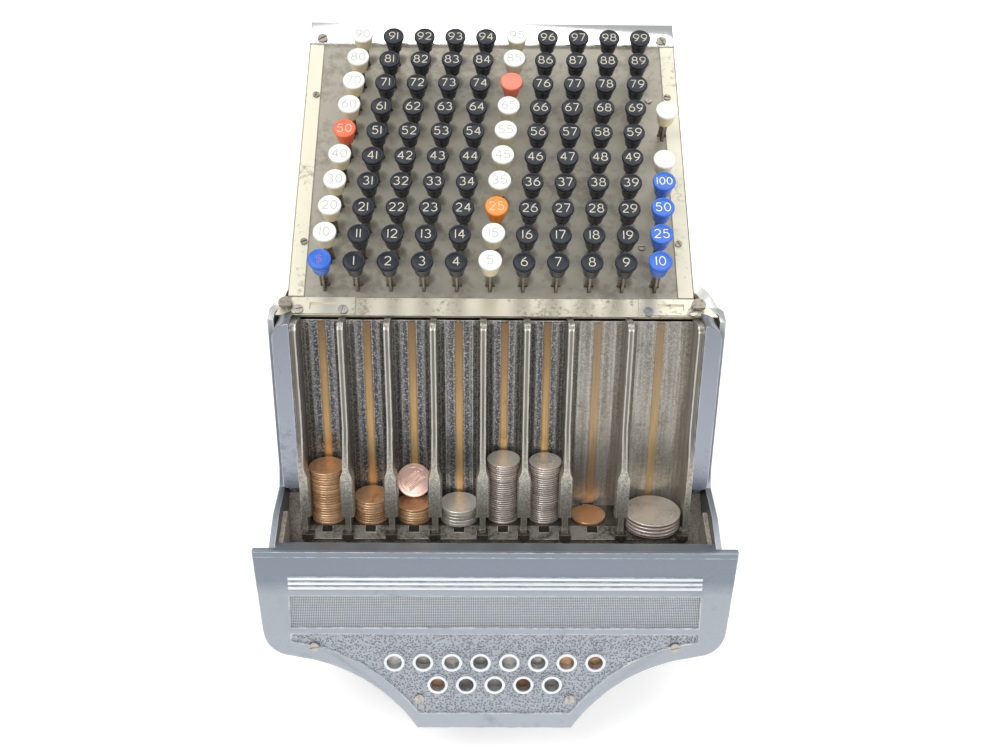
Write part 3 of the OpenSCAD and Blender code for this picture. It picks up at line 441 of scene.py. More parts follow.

# %% [markdown]
# ## Finishes
# Most finishes start the same way: patches decide the colour and the roughness, grain gives a
# bump, and worn edges get a bright colour, partly polish and partly a painted highlight. So one
# function lays that ground and the plain finishes need only their numbers. Bare metals have
# Metallic near 1, and tarnished ones have less.


# %% The ground of every finish
def weathered(tree, clean, dirt, scale, amount, rough=None, fine=None):
    """Patched colour, a roughness that follows the patches, and a bump of (scale, strength, depth)."""
    patched = use(tree, "patches", Clean=clean, Dirt=dirt, Scale=scale, Amount=amount)
    sockets = {"Base_Color": patched["Colour"]}
    if rough:
        sockets["Roughness"] = span(tree, patched["Mask"], 0, 1, *rough)
    if fine:
        sockets["Normal"] = bump(tree, use(tree, "grain", Scale=fine[0])["Height"], *fine[1:])
    return sockets


def edged(tree, colour, width, amount, bright):
    """Lays a bright colour over the worn edges: partly polish, partly a painted highlight."""
    return blend(tree, use(tree, "worn_and_highlit_edges", Width=width, Amount=amount)["Mask"], colour, bright)


def stains(tree, scale, amount):
    """The mask of the patches alone."""
    return use(tree, "patches", Clean=(0, 0, 0), Dirt=(1, 1, 1), Scale=scale, Amount=amount)["Mask"]


def plain(name, clean, dirt, scale, amount, rough, fine=None, edge=None, high=None, **constants):
    """Patches, with grain, worn edges with a painted highlight and, between two heights, a change to another
    colour.
    """
    def build(tree):
        sockets = weathered(tree, clean, dirt, scale, amount, rough, fine)
        if edge:
            sockets["Base_Color"] = edged(tree, sockets["Base_Color"], *edge)
        if high:
            low_end, high_end, share, tint = high
            height = measured(tree, (0, 0, 0), (0, 0, 1))
            share = span(tree, height, low_end, high_end, 0, share)
            sockets["Base_Color"] = blend(tree, share, sockets["Base_Color"], tint)
        return sockets
    return finish(name, build, **constants)


# %% Plain finishes
aluminium = plain("satin_cast_aluminium", (0.26, 0.28, 0.31), (0.18, 0.19, 0.205), 28.0, 0.3, (0.36, 0.5),
                  (1500.0, 0.12, 0.0004), (0.0009, 0.6, (0.80, 0.82, 0.85)),
                  (210.0, 222.0, 0.9, (0.80, 0.79, 0.72)), Metallic=0.8)
screw_steel = plain("turned_steel", (0.50, 0.47, 0.42), (0.20, 0.17, 0.14), 120.0, 0.5, (0.3, 0.55),
                    high=(219.0, 223.0, 0.75, (0.15, 0.125, 0.095)), Metallic=0.9)
handle_metal = plain("polished_aluminium", (0.29, 0.31, 0.35), (0.23, 0.245, 0.275), 26.0, 0.3, (0.26, 0.38),
                     (900.0, 0.06, 0.0003), (0.0012, 0.35, (0.88, 0.89, 0.9)), Metallic=0.9)
bar_metal = plain("bright_nickel", (0.82, 0.82, 0.80), (0.55, 0.53, 0.48), 60.0, 0.25, (0.16, 0.34),
                  Metallic=1.0)
cross_metal = plain("pale_nickel", (0.66, 0.62, 0.50), (0.30, 0.25, 0.18), 55.0, 0.4, (0.34, 0.6),
                    edge=(0.0005, 0.9, (0.92, 0.89, 0.78)), Metallic=0.7)
foot_metal = plain("stained_nickel", (0.15, 0.135, 0.115), (0.05, 0.045, 0.04), 85.0, 0.6, (0.38, 0.6),
                   (700.0, 0.3, 0.0005), (0.0005, 0.75, (0.78, 0.76, 0.68)), Metallic=0.75)
stem_steel = plain("oiled_steel", (0.30, 0.265, 0.22), (0.10, 0.085, 0.07), 90.0, 0.5, (0.35, 0.6),
                   Metallic=0.85)
cream = plain("cream_paint", (0.74, 0.70, 0.55), (0.36, 0.32, 0.24), 45.0, 0.25, (0.35, 0.6),
              (700.0, 0.08, 0.0003))
casing = plain("casing_paint", (0.23, 0.24, 0.25), (0.14, 0.14, 0.135), 30.0, 0.35, (0.42, 0.6),
               (600.0, 0.1, 0.0004))
rubber = plain("feet_rubber", (0.03, 0.03, 0.03), (0.08, 0.075, 0.07), 80.0, 0.4, (0.7, 0.9))


# %% Finish: the front plate, with a knurled panel and a pebbled field
def plate_aluminium(tree):
    """Diagonal dots cover the sunk panel, pebbles cover the lower field, the rest stays satin."""
    x, up, out = slope_axes(tree, on_plate((0, 0, 0)), plate_slope)
    waves = []
    for way in (1.0, -1.0):
        slant = calc(tree, "MULTIPLY_ADD", up, way, x)
        waves.append(calc(tree, "SINE", times(tree, slant, 2 * math.pi / 1.9)))
    dots = times(tree, *waves)
    sunk = times(tree, span(tree, out, -0.45, -0.6), span(tree, out, -1.5, -1.1))
    panel = times(tree, sunk, span(tree, up, -46.0, -45.8))
    field = times(tree, sunk, span(tree, up, -46.0, -46.4))
    pebble = put(tree, "TexVoronoi", Vector=here(tree), Scale=900.0).outputs["Distance"]
    ground = weathered(tree, (0.40, 0.425, 0.46), (0.33, 0.355, 0.39), 22.0, 0.3, (0.36, 0.5))
    # Painted shade darkens the pebble pits and the dot hollows; a painted highlight lightens the dot crests
    # and the raised ribs and rings.
    shaded_pits = times(tree, field, span(tree, pebble, 0.55, 0.25))
    lit_crests = times(tree, panel, span(tree, dots, 0.1, 0.8))
    shaded_hollows = times(tree, panel, span(tree, dots, 0.1, -0.5))
    raised = times(tree, span(tree, out, 0.1, 0.3), span(tree, up, -3.0, -6.0))
    # The band below the top edge is darker.
    colour = layered(tree, ground["Base_Color"], (span(tree, up, -25.0, -17.0), (0.25, 0.285, 0.33)),
                     (shaded_pits, (0.15, 0.16, 0.18)), (lit_crests, (0.60, 0.62, 0.63)),
                     (times(tree, shaded_hollows, 0.8), (0.13, 0.14, 0.155)), (raised, (0.78, 0.80, 0.82)))
    fine = use(tree, "grain", Scale=1500.0)["Height"]
    height = calc(tree, "MULTIPLY_ADD", times(tree, panel, dots), 1.2, fine)
    height = calc(tree, "MULTIPLY_ADD", times(tree, field, pebble), 1.8, height)
    return {**ground, "Base_Color": edged(tree, colour, 0.0008, 1.0, (0.90, 0.92, 0.93)),
            "Normal": bump(tree, height, 0.6, 0.0004)}


plate_metal = finish("plate_aluminium", plate_aluminium, Metallic=0.75)


# %% Finish: dull nickel of the keyboard
key_px, key_py, key_stagger, key_first, key_shift = 17.08, 16.2, 1.6, 7.0, -0.76


def stem_shadows(tree, got):
    """Painted shadows behind every stem: the plate's own coordinates are folded onto one key."""
    moved = put(tree, "Mapping", Vector=here(tree), Location=tuple(-on_deck((0, key_first, 0))))
    flat = put(tree, "Mapping", Vector=moved.outputs[0], Rotation=(-deck_slope, 0, 0))
    axes = put(tree, "SeparateXYZ", Vector=flat.outputs[0]).outputs
    row = calc(tree, "DIVIDE", axes["Y"], key_py * MM)
    nearest = calc(tree, "ROUND", minus(tree, row, 0.22))
    up = times(tree, minus(tree, row, nearest), key_py)
    across = minus(tree, calc(tree, "DIVIDE", axes["X"], MM), times(tree, nearest, key_stagger))
    column = calc(tree, "DIVIDE", minus(tree, across, key_shift), key_px)
    side = times(tree, minus(tree, column, calc(tree, "ROUND", column)), key_px)
    squares = []
    for value, centre, reach in ((side, 1.6, 4.6), (up, 4.6, 4.4)):
        off = calc(tree, "DIVIDE", minus(tree, value, centre), reach)
        squares.append(calc(tree, "POWER", calc(tree, "ABSOLUTE", off), 2.0))
    wobble = times(tree, minus(tree, noise(tree, 160.0, 3.0), 0.5), 1.4)
    far = calc(tree, "ADD", calc(tree, "ADD", *squares), wobble)
    inside = span(tree, calc(tree, "ABSOLUTE", calc(tree, "ADD", column, 0.5)), 5.1, 4.9)
    return {"Mask": times(tree, times(tree, span(tree, far, 1.1, 0.1), inside), got["Amount"])}


group("stem_shadows", {"Amount": 1.0}, {"Mask": 0.0}, stem_shadows)


def deck_nickel(tree):
    """Patches of dirt, and painted shadows behind the stems, where the plate is also made rougher."""
    ground = weathered(tree, (0.36, 0.335, 0.275), (0.26, 0.235, 0.19), 30.0, 0.55,
                       fine=(1300.0, 0.2, 0.0004))
    amount = 0.62
    stem_shadow = use(tree, "stem_shadows", Amount=amount)["Mask"]
    # The dark colour here is the painted shadow behind the stems.
    return {**ground, "Base_Color": blend(tree, stem_shadow, ground["Base_Color"], (0.07, 0.06, 0.052)),
            "Roughness": span(tree, stem_shadow, 0, amount, 0.5, 0.72)}


deck_metal = finish("grimy_nickel", deck_nickel, Metallic=0.55)


# %% Finish: speckled lining of the hopper
def grimy_cream(tree):
    """Cream paint under small dark specks."""
    ground = weathered(tree, (0.40, 0.35, 0.28), (0.17, 0.15, 0.125), 60.0, 0.55, (0.5, 0.8),
                       (500.0, 0.25, 0.0005))
    specks = span(tree, noise(tree, 1300.0), 0.45, 0.62, 0, 0.6)
    return {**ground, "Base_Color": blend(tree, specks, ground["Base_Color"], (0.10, 0.09, 0.08))}


hopper_lining = finish("grimy_cream", grimy_cream)

# %% [markdown]
# ### The coin tray's nickel
# Across each channel the nickel shows long bands: dark blue-grey beside the brass, light lines
# where the sheet bends, brown in the corners. They are partly tarnish and partly painted
# reflection and shade of the curved channel. The group measures how far a point lies from the
# middle of its channel and how far out of the channel it stands. A colour ramp turns the first
# into bands, and the second tells floor, rib sides and rib fronts apart.

# %% Channels of the tray
penny_d, nickel_d, dime_d, quarter_d, half_d = 19.05, 21.21, 17.91, 24.26, 30.61
rib_t, rib_l = 3.0, 18.0
channel_ds = np.array([penny_d] * 3 + [nickel_d, dime_d, dime_d, quarter_d, half_d])
coin_sides = np.array([0.65] * 6 + [1.45, 0.65])
widths = channel_ds + 2 * coin_sides
starts = np.concatenate([[0], np.cumsum(widths + rib_t)[:-1]])
tray_in = starts[-1] + widths[-1]
channel_x = starts + widths / 2 - tray_in / 2
clean_from, clean_to = float(channel_x[5]) + 9, float(channel_x[6]) - 6


# %% Effect: place in a channel
def channel_bands(tree, got):
    """Share: distance from the channel's middle over half its width. Beyond: how far into a rib.

    Sway moves the share a little from streak to streak.
    """
    x, up, out = slope_axes(tree, on_tray((0, 0, 0)), tray_slope)
    share = beyond = None
    for middle, width in zip(channel_x, widths):
        off = calc(tree, "ABSOLUTE", minus(tree, x, float(middle)))
        past = minus(tree, off, float(width) / 2)
        off = calc(tree, "DIVIDE", off, float(width) / 2)
        share = off if share is None else calc(tree, "MINIMUM", share, off)
        beyond = past if beyond is None else calc(tree, "MINIMUM", beyond, past)
    line = use(tree, "streaks", Scale=420.0)["Value"]
    share = calc(tree, "ADD", share, times(tree, minus(tree, line, 0.5), got["Sway"]))
    return {"Share": share, "Beyond": beyond, "Across": x, "Out": out, "Up": up}


group("channel_bands", {"Sway": 0.0}, {"Share": 0.0, "Beyond": 0.0, "Across": 0.0, "Out": 0.0, "Up": 0.0},
      channel_bands)

TARNISH_AND_REFLECTION_BANDS = [(0.0, (0.20, 0.17, 0.12)), (0.19, (0.12, 0.08, 0.05)), (0.23, (0.36, 0.34, 0.30)),
         (0.27, (0.05, 0.052, 0.072)), (0.43, (0.065, 0.068, 0.09)), (0.50, (0.22, 0.22, 0.215)),
         (0.60, (0.15, 0.15, 0.145)), (0.64, (0.52, 0.50, 0.45)), (0.68, (0.12, 0.12, 0.12)),
         (0.80, (0.10, 0.095, 0.09)), (0.86, (0.38, 0.34, 0.28)), (0.91, (0.09, 0.08, 0.07)),
         (1.0, (0.28, 0.25, 0.20))]


# %% Finish: rubbed nickel of the coin tray, with painted reflection bands
def rib_front(tree, place, line, fleck):
    """Two painted highlights along the rib's edges with tarnish between them, and mottled posts near the
    foot that darken towards it.
    """
    beyond, up = place["Beyond"], place["Up"]
    edge_highlights = times(tree, span(tree, beyond, 0.15, 0.4), span(tree, beyond, 1.0, 0.6))
    front = blend(tree, edge_highlights, (0.17, 0.155, 0.13), (0.80, 0.77, 0.70))
    front = blend(tree, times(tree, line, 0.45), front, (0.40, 0.37, 0.31))
    post = blend(tree, span(tree, fleck, 0.4, 0.6), (0.34, 0.31, 0.26), (0.62, 0.58, 0.50))
    post = blend(tree, span(tree, up, 34.0, 6.0, 0, 0.55), post, (0.16, 0.145, 0.12))
    return blend(tree, span(tree, up, 52.0, 36.0), front, post)


def cleaner_nickel(tree, line):
    """Pale streaks and soft stains of the two widest channels."""
    pale = blend(tree, line, (0.66, 0.61, 0.53), (0.38, 0.33, 0.26))
    return blend(tree, times(tree, stains(tree, 45.0, 0.5), 0.5), pale, (0.27, 0.23, 0.18))


def tarnished_nickel(tree):
    place = use(tree, "channel_bands", Sway=0.07)
    out, up = place["Out"], place["Up"]
    line = use(tree, "streaks", Scale=420.0)["Value"]
    wide = use(tree, "streaks", Scale=110.0)["Value"]
    fleck = noise(tree, 1100.0, 3.0)
    dirt = stains(tree, 75.0, 0.35)
    # The ramp lays tarnish with painted reflection bands and painted shade across each channel.
    ramp = put(tree, "ValToRGB", Fac=place["Share"])
    stops = ramp.color_ramp.elements
    for i, (at, colour) in enumerate(TARNISH_AND_REFLECTION_BANDS):
        stop = stops[i] if i < 2 else stops.new(at)
        stop.position, stop.color = at, (*colour, 1)
    # Rib sides: painted shade, darker deep in the channel and lighter towards the front, with dark streaks.
    side = blend(tree, span(tree, out, 3.0, rib_l), (0.15, 0.14, 0.125), (0.42, 0.385, 0.32))
    side = blend(tree, times(tree, line, 0.5), side, (0.09, 0.085, 0.08))
    clean = span(tree, place["Across"], clean_from, clean_to)
    clean = times(tree, clean, span(tree, up, 130.0, 50.0, 0.3, 0.66))
    colour = layered(tree, ramp.outputs[0], (span(tree, out, 2.4, 3.4), side),
                     (times(tree, wide, 0.25), (0.36, 0.35, 0.32)),
                     (span(tree, fleck, 0.52, 0.64, 0, 0.55), (0.60, 0.58, 0.54)),
                     (span(tree, fleck, 0.46, 0.36, 0, 0.55), (0.045, 0.042, 0.04)),
                     (clean, cleaner_nickel(tree, line)), (times(tree, dirt, 0.3), (0.075, 0.07, 0.065)),
                     (span(tree, out, rib_l - 0.9, rib_l - 0.2), rib_front(tree, place, line, fleck)))
    fine = use(tree, "grain", Scale=900.0)["Height"]
    return {"Base_Color": edged(tree, colour, 0.0005, 1.0, (0.93, 0.90, 0.83)),
            "Roughness": span(tree, dirt, 0, 1, 0.32, 0.55), "Normal": bump(tree, fine, 0.22, 0.0004)}


tray_metal = finish("tarnished_nickel", tarnished_nickel, Metallic=0.6)


# %% Finish: dull brass
def dull_brass(tree):
    """Brown at the top of the tray and golden near the foot, a painted light that brightens the strips
    towards the foot.
    """
    place = use(tree, "channel_bands", Sway=0.0)
    ground = weathered(tree, (0.24, 0.15, 0.075), (0.17, 0.105, 0.06), 60.0, 0.4, (0.36, 0.55),
                       (800.0, 0.15, 0.0003))
    line = use(tree, "streaks", Scale=700.0)["Value"]
    side = span(tree, place["Share"], 0.1, 0.19)
    # Painted light: the strips turn golden towards the foot.
    colour = layered(tree, ground["Base_Color"], (span(tree, place["Up"], 110.0, 45.0), (0.80, 0.50, 0.21)),
                     (span(tree, place["Across"], clean_from, clean_to, 0, 0.5), (0.36, 0.30, 0.22)),
                     (times(tree, side, 0.55), (0.20, 0.11, 0.05)),
                     (times(tree, line, 0.4), (0.22, 0.14, 0.07)))
    return {**ground, "Base_Color": colour}


brass = finish("dull_brass", dull_brass, Metallic=0.6)


# %% Finish: moulded caps
def moulded(name, clean, worn, rough, gloss=0.5):
    """Glossy moulding with a slightly cloudy colour and fine scratches in its gloss."""
    return plain(name, clean, worn, 130.0, 0.35, (rough, rough + 0.14), (900.0, 0.04, 0.0003),
                 Specular_IOR_Level=gloss)


CAP_COLOURS = [moulded(*numbers) for numbers in (
    ("black_cap", (0.014, 0.017, 0.024), (0.026, 0.028, 0.034), 0.22, 0.24),
    ("white_cap", (0.80, 0.78, 0.72), (0.68, 0.64, 0.54), 0.24),
    ("ivory_side", (0.76, 0.66, 0.42), (0.60, 0.50, 0.30), 0.32),
    ("blue_cap", (0.020, 0.125, 0.56), (0.015, 0.09, 0.42), 0.26),
    ("red_cap", (0.80, 0.13, 0.045), (0.62, 0.10, 0.04), 0.28),
    ("orange_cap", (0.90, 0.25, 0.02), (0.72, 0.19, 0.02), 0.28),
    ("salmon_cap", (0.86, 0.20, 0.12), (0.70, 0.16, 0.10), 0.28))]
BLACK, WHITE, IVORY, BLUE, RED, ORANGE, SALMON = range(len(CAP_COLOURS))
NUMBER_FILLS = [moulded(*numbers) for numbers in (
    ("cream_fill", (0.64, 0.60, 0.47), (0.34, 0.32, 0.26), 0.5),
    ("grey_fill", (0.36, 0.36, 0.37), (0.52, 0.51, 0.50), 0.5),
    ("white_fill", (0.85, 0.86, 0.88), (0.70, 0.72, 0.78), 0.45),
    ("red_fill", (0.30, 0.13, 0.42), (0.10, 0.18, 0.60), 0.5))]
print("materials", len(bpy.data.materials))

# %% [markdown]
# ## Camera
# The camera stands in front of the machine, above it, and looks down at 44 degrees with a short
# telephoto lens. Its place was worked out from the places of the keys, the channels and the
# front plate, and is written here in the machine's own frame.

# %% Camera
camera_at = Vector((-5.59, -499.79, 624.90)) * MM
camera_yaw, camera_pitch, camera_roll = (math.radians(v) for v in (0.92, 43.67, 0.95))
forward = Vector((math.sin(camera_yaw) * math.cos(camera_pitch),
                  math.cos(camera_yaw) * math.cos(camera_pitch), -math.sin(camera_pitch)))
right = Vector((math.cos(camera_yaw), -math.sin(camera_yaw), 0))
upward = right.cross(forward)
side = math.cos(camera_roll) * right + math.sin(camera_roll) * upward
top = -math.sin(camera_roll) * right + math.cos(camera_roll) * upward
camera_data = bpy.data.cameras.new("camera")
camera_data.sensor_width = 36
camera_data.lens = 43.71
camera = new_object("camera", camera_data)
camera.matrix_world = Matrix((side, top, -forward)).transposed().to_4x4()
camera.location = camera_at
bpy.context.scene.camera = camera
print("camera at", [round(v, 3) for v in camera_at])

# %% [markdown]
# ## Keys
# A key is a flat steel stem of T section with a moulded cap. The cap is turned: a flat top with a
# soft edge, a short straight side, and a taper down to the stem. A lathe profile gives exactly
# that, and all caps of a row form one piece that rides on that row's body.

# %% Caps
rows, right_rows = 10, [0, 1, 2, 3, 4, 6]
cap_h, cap_disc, cap_d, pale_cap_d, cap_foot_d = 10.0, 1.6, 11.4, 11.9, 8.0
key_rise, pale_rise, low_key_drop, key_travel = 25.3, 1.5, 3.0, 8.0
stem_w, stem_t, blade_l = 4.4, 1.0, 3.4
guide_drop, guide_t = 24.0, 1.2


def key_at(column, row):
    """Across and up the keyboard: each row is shifted a little to the right."""
    return np.array([(column - 5) * key_px + row * key_stagger + key_shift, key_first + row * key_py])


def cap_shape(diameter):
    """Lathe profile: foot, taper, step out to the broad disc, quarter-round edge, shallow dish."""
    r, foot = diameter / 2, cap_foot_d / 2 + (diameter - cap_d) / 2
    neck = 0.455 * diameter
    t = np.linspace(0, 1, 5)[1:]
    taper = np.c_[foot + (neck - foot) * t ** 0.8, 1.1 + (cap_h - cap_disc - 1.8) * t]
    a = np.radians(np.linspace(0, 90, 5))
    edge = np.c_[r - 0.6 + 0.6 * np.cos(a), cap_h - 0.6 + 0.6 * np.sin(a)]
    top_dish = [[r - 1.25, cap_h - 0.02], [r - 1.5, cap_h - 0.12], [r - 2.4, cap_h - 0.14]]
    profile = np.vstack([[[foot - 0.35, 0], [foot, 0.3], [foot, 1.1]], taper,
                         [[r - 0.2, cap_h - cap_disc], [r, cap_h - cap_disc + 0.2]], edge, top_dish])
    return lathe(profile, 40)


def cap_tint(column, row):
    """The number of a cap's colour. Column 10 is the right-hand one."""
    special = {(0, 0): BLUE, (0, 5): RED, (5, 2): ORANGE, (5, 7): SALMON}
    if column == 10:
        return BLUE if row in right_rows[:4] else WHITE
    return special.get((column, row), WHITE if column in (0, 5) else BLACK)


def cap_rise(column, row):
    """The height of a cap's top above the keyboard plate."""
    if column == 10:
        return key_rise + pale_rise - (low_key_drop if row in right_rows[4:] else 0)
    return key_rise + (pale_rise if column in (0, 5) else 0)


def stem_shape(rise):
    """A flange across and a blade in front that deepens on its way down."""
    foot = rise - cap_h + 0.05
    half = stem_w / 2
    flange_foot = guide_t + key_travel + 1 - guide_drop
    flange = prism([[-half, 0.4], [half, 0.4], [half, 0.4 + stem_t], [-half, 0.4 + stem_t]],
                   [flange_foot, foot])
    heights = np.array([-guide_drop - 3, 9.0, 13.0, foot])
    depth = np.array([blade_l, blade_l, 1.3, 1.0])
    x = np.array([-1, 1, 1, -1]) * stem_t / 2
    rings = np.stack([np.stack([x, 0.6 - np.array([1, 1, 0, 0]) * (d + 0.2), np.full(4, h)], -1)
                      for h, d in zip(heights, depth)])
    return joined([flange, stacked(rings)])


def make_keys(name, keys, body):
    """Caps and stems of some keys, given as (column, row), on one body. The name is the node's."""
    shapes, parts = [], []
    for column, row in keys:
        tint = cap_tint(column, row)
        shape = cap_shape(cap_d if tint == BLACK else pale_cap_d)
        x, y = key_at(column, row)
        shapes.append(copies(shape, [(x, y, cap_rise(column, row) - cap_h)]))
        z = shape[0][:, 2]
        for f in shape[1]:
            low = z[f].mean(1) < cap_h - cap_disc - 0.3
            parts.append(np.where(low & (tint == WHITE), IVORY, tint))
    caps = placed(on_deck, joined(shapes))
    piece(name + "_caps", caps, CAP_COLOURS, body, name, np.concatenate(parts))
    stems = joined([copies(stem_shape(cap_rise(c, r)), [(*key_at(c, r), 0)]) for c, r in keys])
    piece(name + "_stems", placed(on_deck, stems), [stem_steel], body, name)


KEY_SETS = [(f"key_row_{r}", [(c, r) for c in range(10)], f"keys_{r}") for r in range(rows)]
KEY_SETS += [(f"right_key_{i + 1}", [(10, r)], f"right_{i + 1}") for i, r in enumerate(right_rows)]
for name, keys, body in KEY_SETS:
    make_keys(name, keys, body)
print("keys", sum(len(keys) for name, keys, body in KEY_SETS))

# %% [markdown]
# ## Numbers
# The numbers on the caps are cut with one round cutter and filled with paint. So each digit is a
# few centre lines, arcs and straight strokes, and a narrow band is carried along them. That is
# closer to engraving than a printing typeface, and it needs no font.


# %% Digits as centre lines on a box one unit high
def arc(cx, cy, rx, ry, start, end, steps=14):
    """Points of an ellipse's arc, with angles in degrees."""
    a = np.radians(np.linspace(start, end, steps))
    return np.c_[cx + rx * np.cos(a), cy + ry * np.sin(a)]


def six():
    """A round bowl with a quadratic curve rising from its left side."""
    bowl = arc(0.33, 0.30, 0.31, 0.30, 0, 360, 24)
    t = np.linspace(0, 1, 10)[:, None]
    a, b, c = np.array([[0.52, 1.0]]), np.array([[0.10, 0.78]]), np.array([[0.02, 0.32]])
    return [bowl, (1 - t) ** 2 * a + 2 * t * (1 - t) * b + t ** 2 * c]


DIGITS = {
    "0": [arc(0.33, 0.5, 0.31, 0.5, 0, 360, 28)],
    "1": [[[0.06, 0], [0.06, 1]]],
    "2": [np.vstack([arc(0.31, 0.71, 0.29, 0.29, 165, -38), [[0.02, 0.0]]]), [[0.0, 0], [0.64, 0]]],
    "3": [arc(0.30, 0.755, 0.26, 0.245, 150, -90), arc(0.30, 0.265, 0.31, 0.265, 90, -150)],
    "4": [[[0.48, 0], [0.48, 1]], [[0.48, 1], [0.0, 0.29]], [[0.0, 0.29], [0.66, 0.29]]],
    "5": [[[0.56, 1], [0.12, 1]], [[0.12, 1], [0.07, 0.56]], arc(0.30, 0.32, 0.31, 0.32, 128, -150, 18)],
    "6": six(),
    "7": [[[0.0, 1], [0.62, 1]], [[0.62, 1], [0.2, 0]]],
    "8": [arc(0.32, 0.76, 0.25, 0.24, 0, 360, 22), arc(0.32, 0.27, 0.31, 0.27, 0, 360, 24)],
    "9": [np.array([[0.66, 1.0]]) - p for p in six()],
    "$": [arc(0.30, 0.72, 0.26, 0.2, 30, 270), arc(0.30, 0.32, 0.28, 0.2, 90, -150),
          [[0.3, -0.1], [0.3, 1.1]]],
}
WIDTHS = {key: 0.12 if key == "1" else 0.65 for key in DIGITS}


def band(path, width, low, high):
    """A band of rectangular section along a path: each point moves out by its unit normal."""
    path = np.asarray(path, float)
    along = np.gradient(path, axis=0)
    along /= np.linalg.norm(along, axis=1, keepdims=True) + 1e-9
    across = np.c_[-along[:, 1], along[:, 0]] * width / 2
    left, rightward = path + across, path - across
    flat = np.stack([left, rightward, rightward, left], 1)
    height = np.broadcast_to(np.array([low, low, high, high])[None, :, None], flat.shape[:2] + (1,))
    return stacked(np.concatenate([flat, height], -1))


def number(text, height, x, y, z, stroke=0.62):
    """The digits of a text, centred on (x, y), as solids that stand 0.05 mm proud of z."""
    gap = 0.24
    total = sum(WIDTHS[c] for c in text) + gap * (len(text) - 1)
    shapes, at = [], -total / 2
    for c in text:
        for path in DIGITS[c]:
            path = (np.asarray(path, float) + [at, -0.5]) * height + [x, y]
            shapes.append(band(path, stroke, z - 0.1, z + 0.05))
        at += WIDTHS[c] + gap
    return joined(shapes)


# %% Numbers on the caps
def key_text(column, row):
    """A dollar sign, then 1 to 99. The salmon cap and two right-hand caps are bare."""
    if column == 10:
        return {0: "10", 1: "25", 2: "50", 3: "100"}.get(row, "")
    if (column, row) == (0, 0):
        return "$"
    return "" if (column, row) == (5, 7) else str(10 * row + column)


def make_numbers(name, keys, body):
    """The numbers of some keys as one piece."""
    shapes, parts = [], []
    for column, row in keys:
        text = key_text(column, row)
        if not text:
            continue
        tint = cap_tint(column, row)
        paint = {BLACK: 0, WHITE: 1, BLUE: 3 if column == 0 else 2, RED: 0, ORANGE: 0}[tint]
        x, y = key_at(column, row)
        tall = 4.2 if len(text) == 3 else 4.9
        shape = number(text, tall, x, y, cap_rise(column, row) - 0.14, 0.40 if paint == 1 else 0.46)
        shapes.append(shape)
        parts.append(np.full(face_count(shape), paint))
    if shapes:
        shape = placed(on_deck, joined(shapes))
        piece(name, shape, NUMBER_FILLS, body, parts=np.concatenate(parts), sharp=20)


for name, keys, body in KEY_SETS:
    make_numbers(name + ("_numbers" if len(keys) > 1 else "_number"), keys, body)

# %% [markdown]
# ## Coins
# A coin is a disc with a raised rim round a sunk field. Stacked coins are never quite in line, so
# each one is shifted a little. Worn coins differ in colour from one to the next, which a number on
# every point, called tone, carries to the material.

# %% Coin sizes
penny_t, nickel_t, dime_t, half_t = 1.52, 1.95, 1.35, 2.15
coin_back, coin_play = 1.55, 0.02
coin_ds = [penny_d] * 3 + [nickel_d, dime_d, dime_d, penny_d, half_d]
coin_ts = [penny_t] * 3 + [nickel_t, dime_t, dime_t, penny_t, half_t]
coin_counts = [21, 9, 6, 5, 27, 26, 1, 4]
coin_x = channel_x - np.array([0, 0, 0, 0, 0, 0, 1.5, 0])
coin_out = coin_back + np.array([0, 0, 0, 0, 0, 0, 0, 1.0])


def coin_shape(diameter, thick):
    """Lathe profile: sunk field, rim, lower edge, side with a middle band, rim, sunk field."""
    r, t = diameter / 2, thick - coin_play
    profile = [[r - 1.25, 0.1], [r - 1.0, 0], [r - 0.32, 0], [r, 0.3], [r, t * 0.36],
               [r, t * 0.68], [r, t - 0.2], [r - 0.2, t], [r - 0.8, t], [r - 1.1, t - 0.11]]
    return lathe(profile, 56)


def side_faces(shape, thick):
    """1 for the middle band, where a clad coin shows its core; 2 for the lower edge, painted dark as shade
    in the gap between coins.
    """
    z = shape[0][:, 2]
    got = []
    for f in shape[1]:
        height, quads = z[f].mean(1), f.shape[1] == 4
        band = quads & (abs(height - thick * 0.52) < thick * 0.06)
        gap_shaded = quads & (height > 0.1) & (height < 0.25)
        got.append(np.where(gap_shaded, 2, np.where(band, 1, 0)))
    return np.concatenate(got)


# %% Coin finishes
def worn_coin(name, dark, light, spot, metallic):
    """Colour runs from dark to light with the coin's tone, and spots of tarnish lie on it."""
    def build(tree):
        tone = put(tree, "Attribute", attribute_name="tone").outputs["Fac"]
        dirt = stains(tree, 110.0, 0.45)
        colour = blend(tree, times(tree, dirt, 0.6), blend(tree, tone, dark, light), spot)
        fine = use(tree, "grain", Scale=1400.0)["Height"]
        # The rims get a painted highlight, half again as bright as the light colour.
        return {"Base_Color": edged(tree, colour, 0.0003, 0.75, tuple(min(1, 1.5 * v) for v in light)),
                "Roughness": span(tree, dirt, 0, 1, 0.3, 0.5), "Normal": bump(tree, fine, 0.15, 0.0003)}
    return finish(name, build, Metallic=metallic)


copper = worn_coin("worn_copper", (0.52, 0.27, 0.13), (0.86, 0.53, 0.30), (0.26, 0.12, 0.06), 0.45)
silver = worn_coin("worn_silver", (0.50, 0.46, 0.40), (0.80, 0.75, 0.68), (0.30, 0.26, 0.21), 0.5)
core = worn_coin("clad_core", (0.30, 0.14, 0.09), (0.46, 0.25, 0.17), (0.13, 0.07, 0.05), 0.5)
# The lower edge of every coin gets this dark finish: painted shade in the gap between stacked coins.
gap_shade = worn_coin("coin_gap_shade", (0.045, 0.035, 0.025), (0.11, 0.08, 0.06), (0.03, 0.025, 0.02), 0.2)

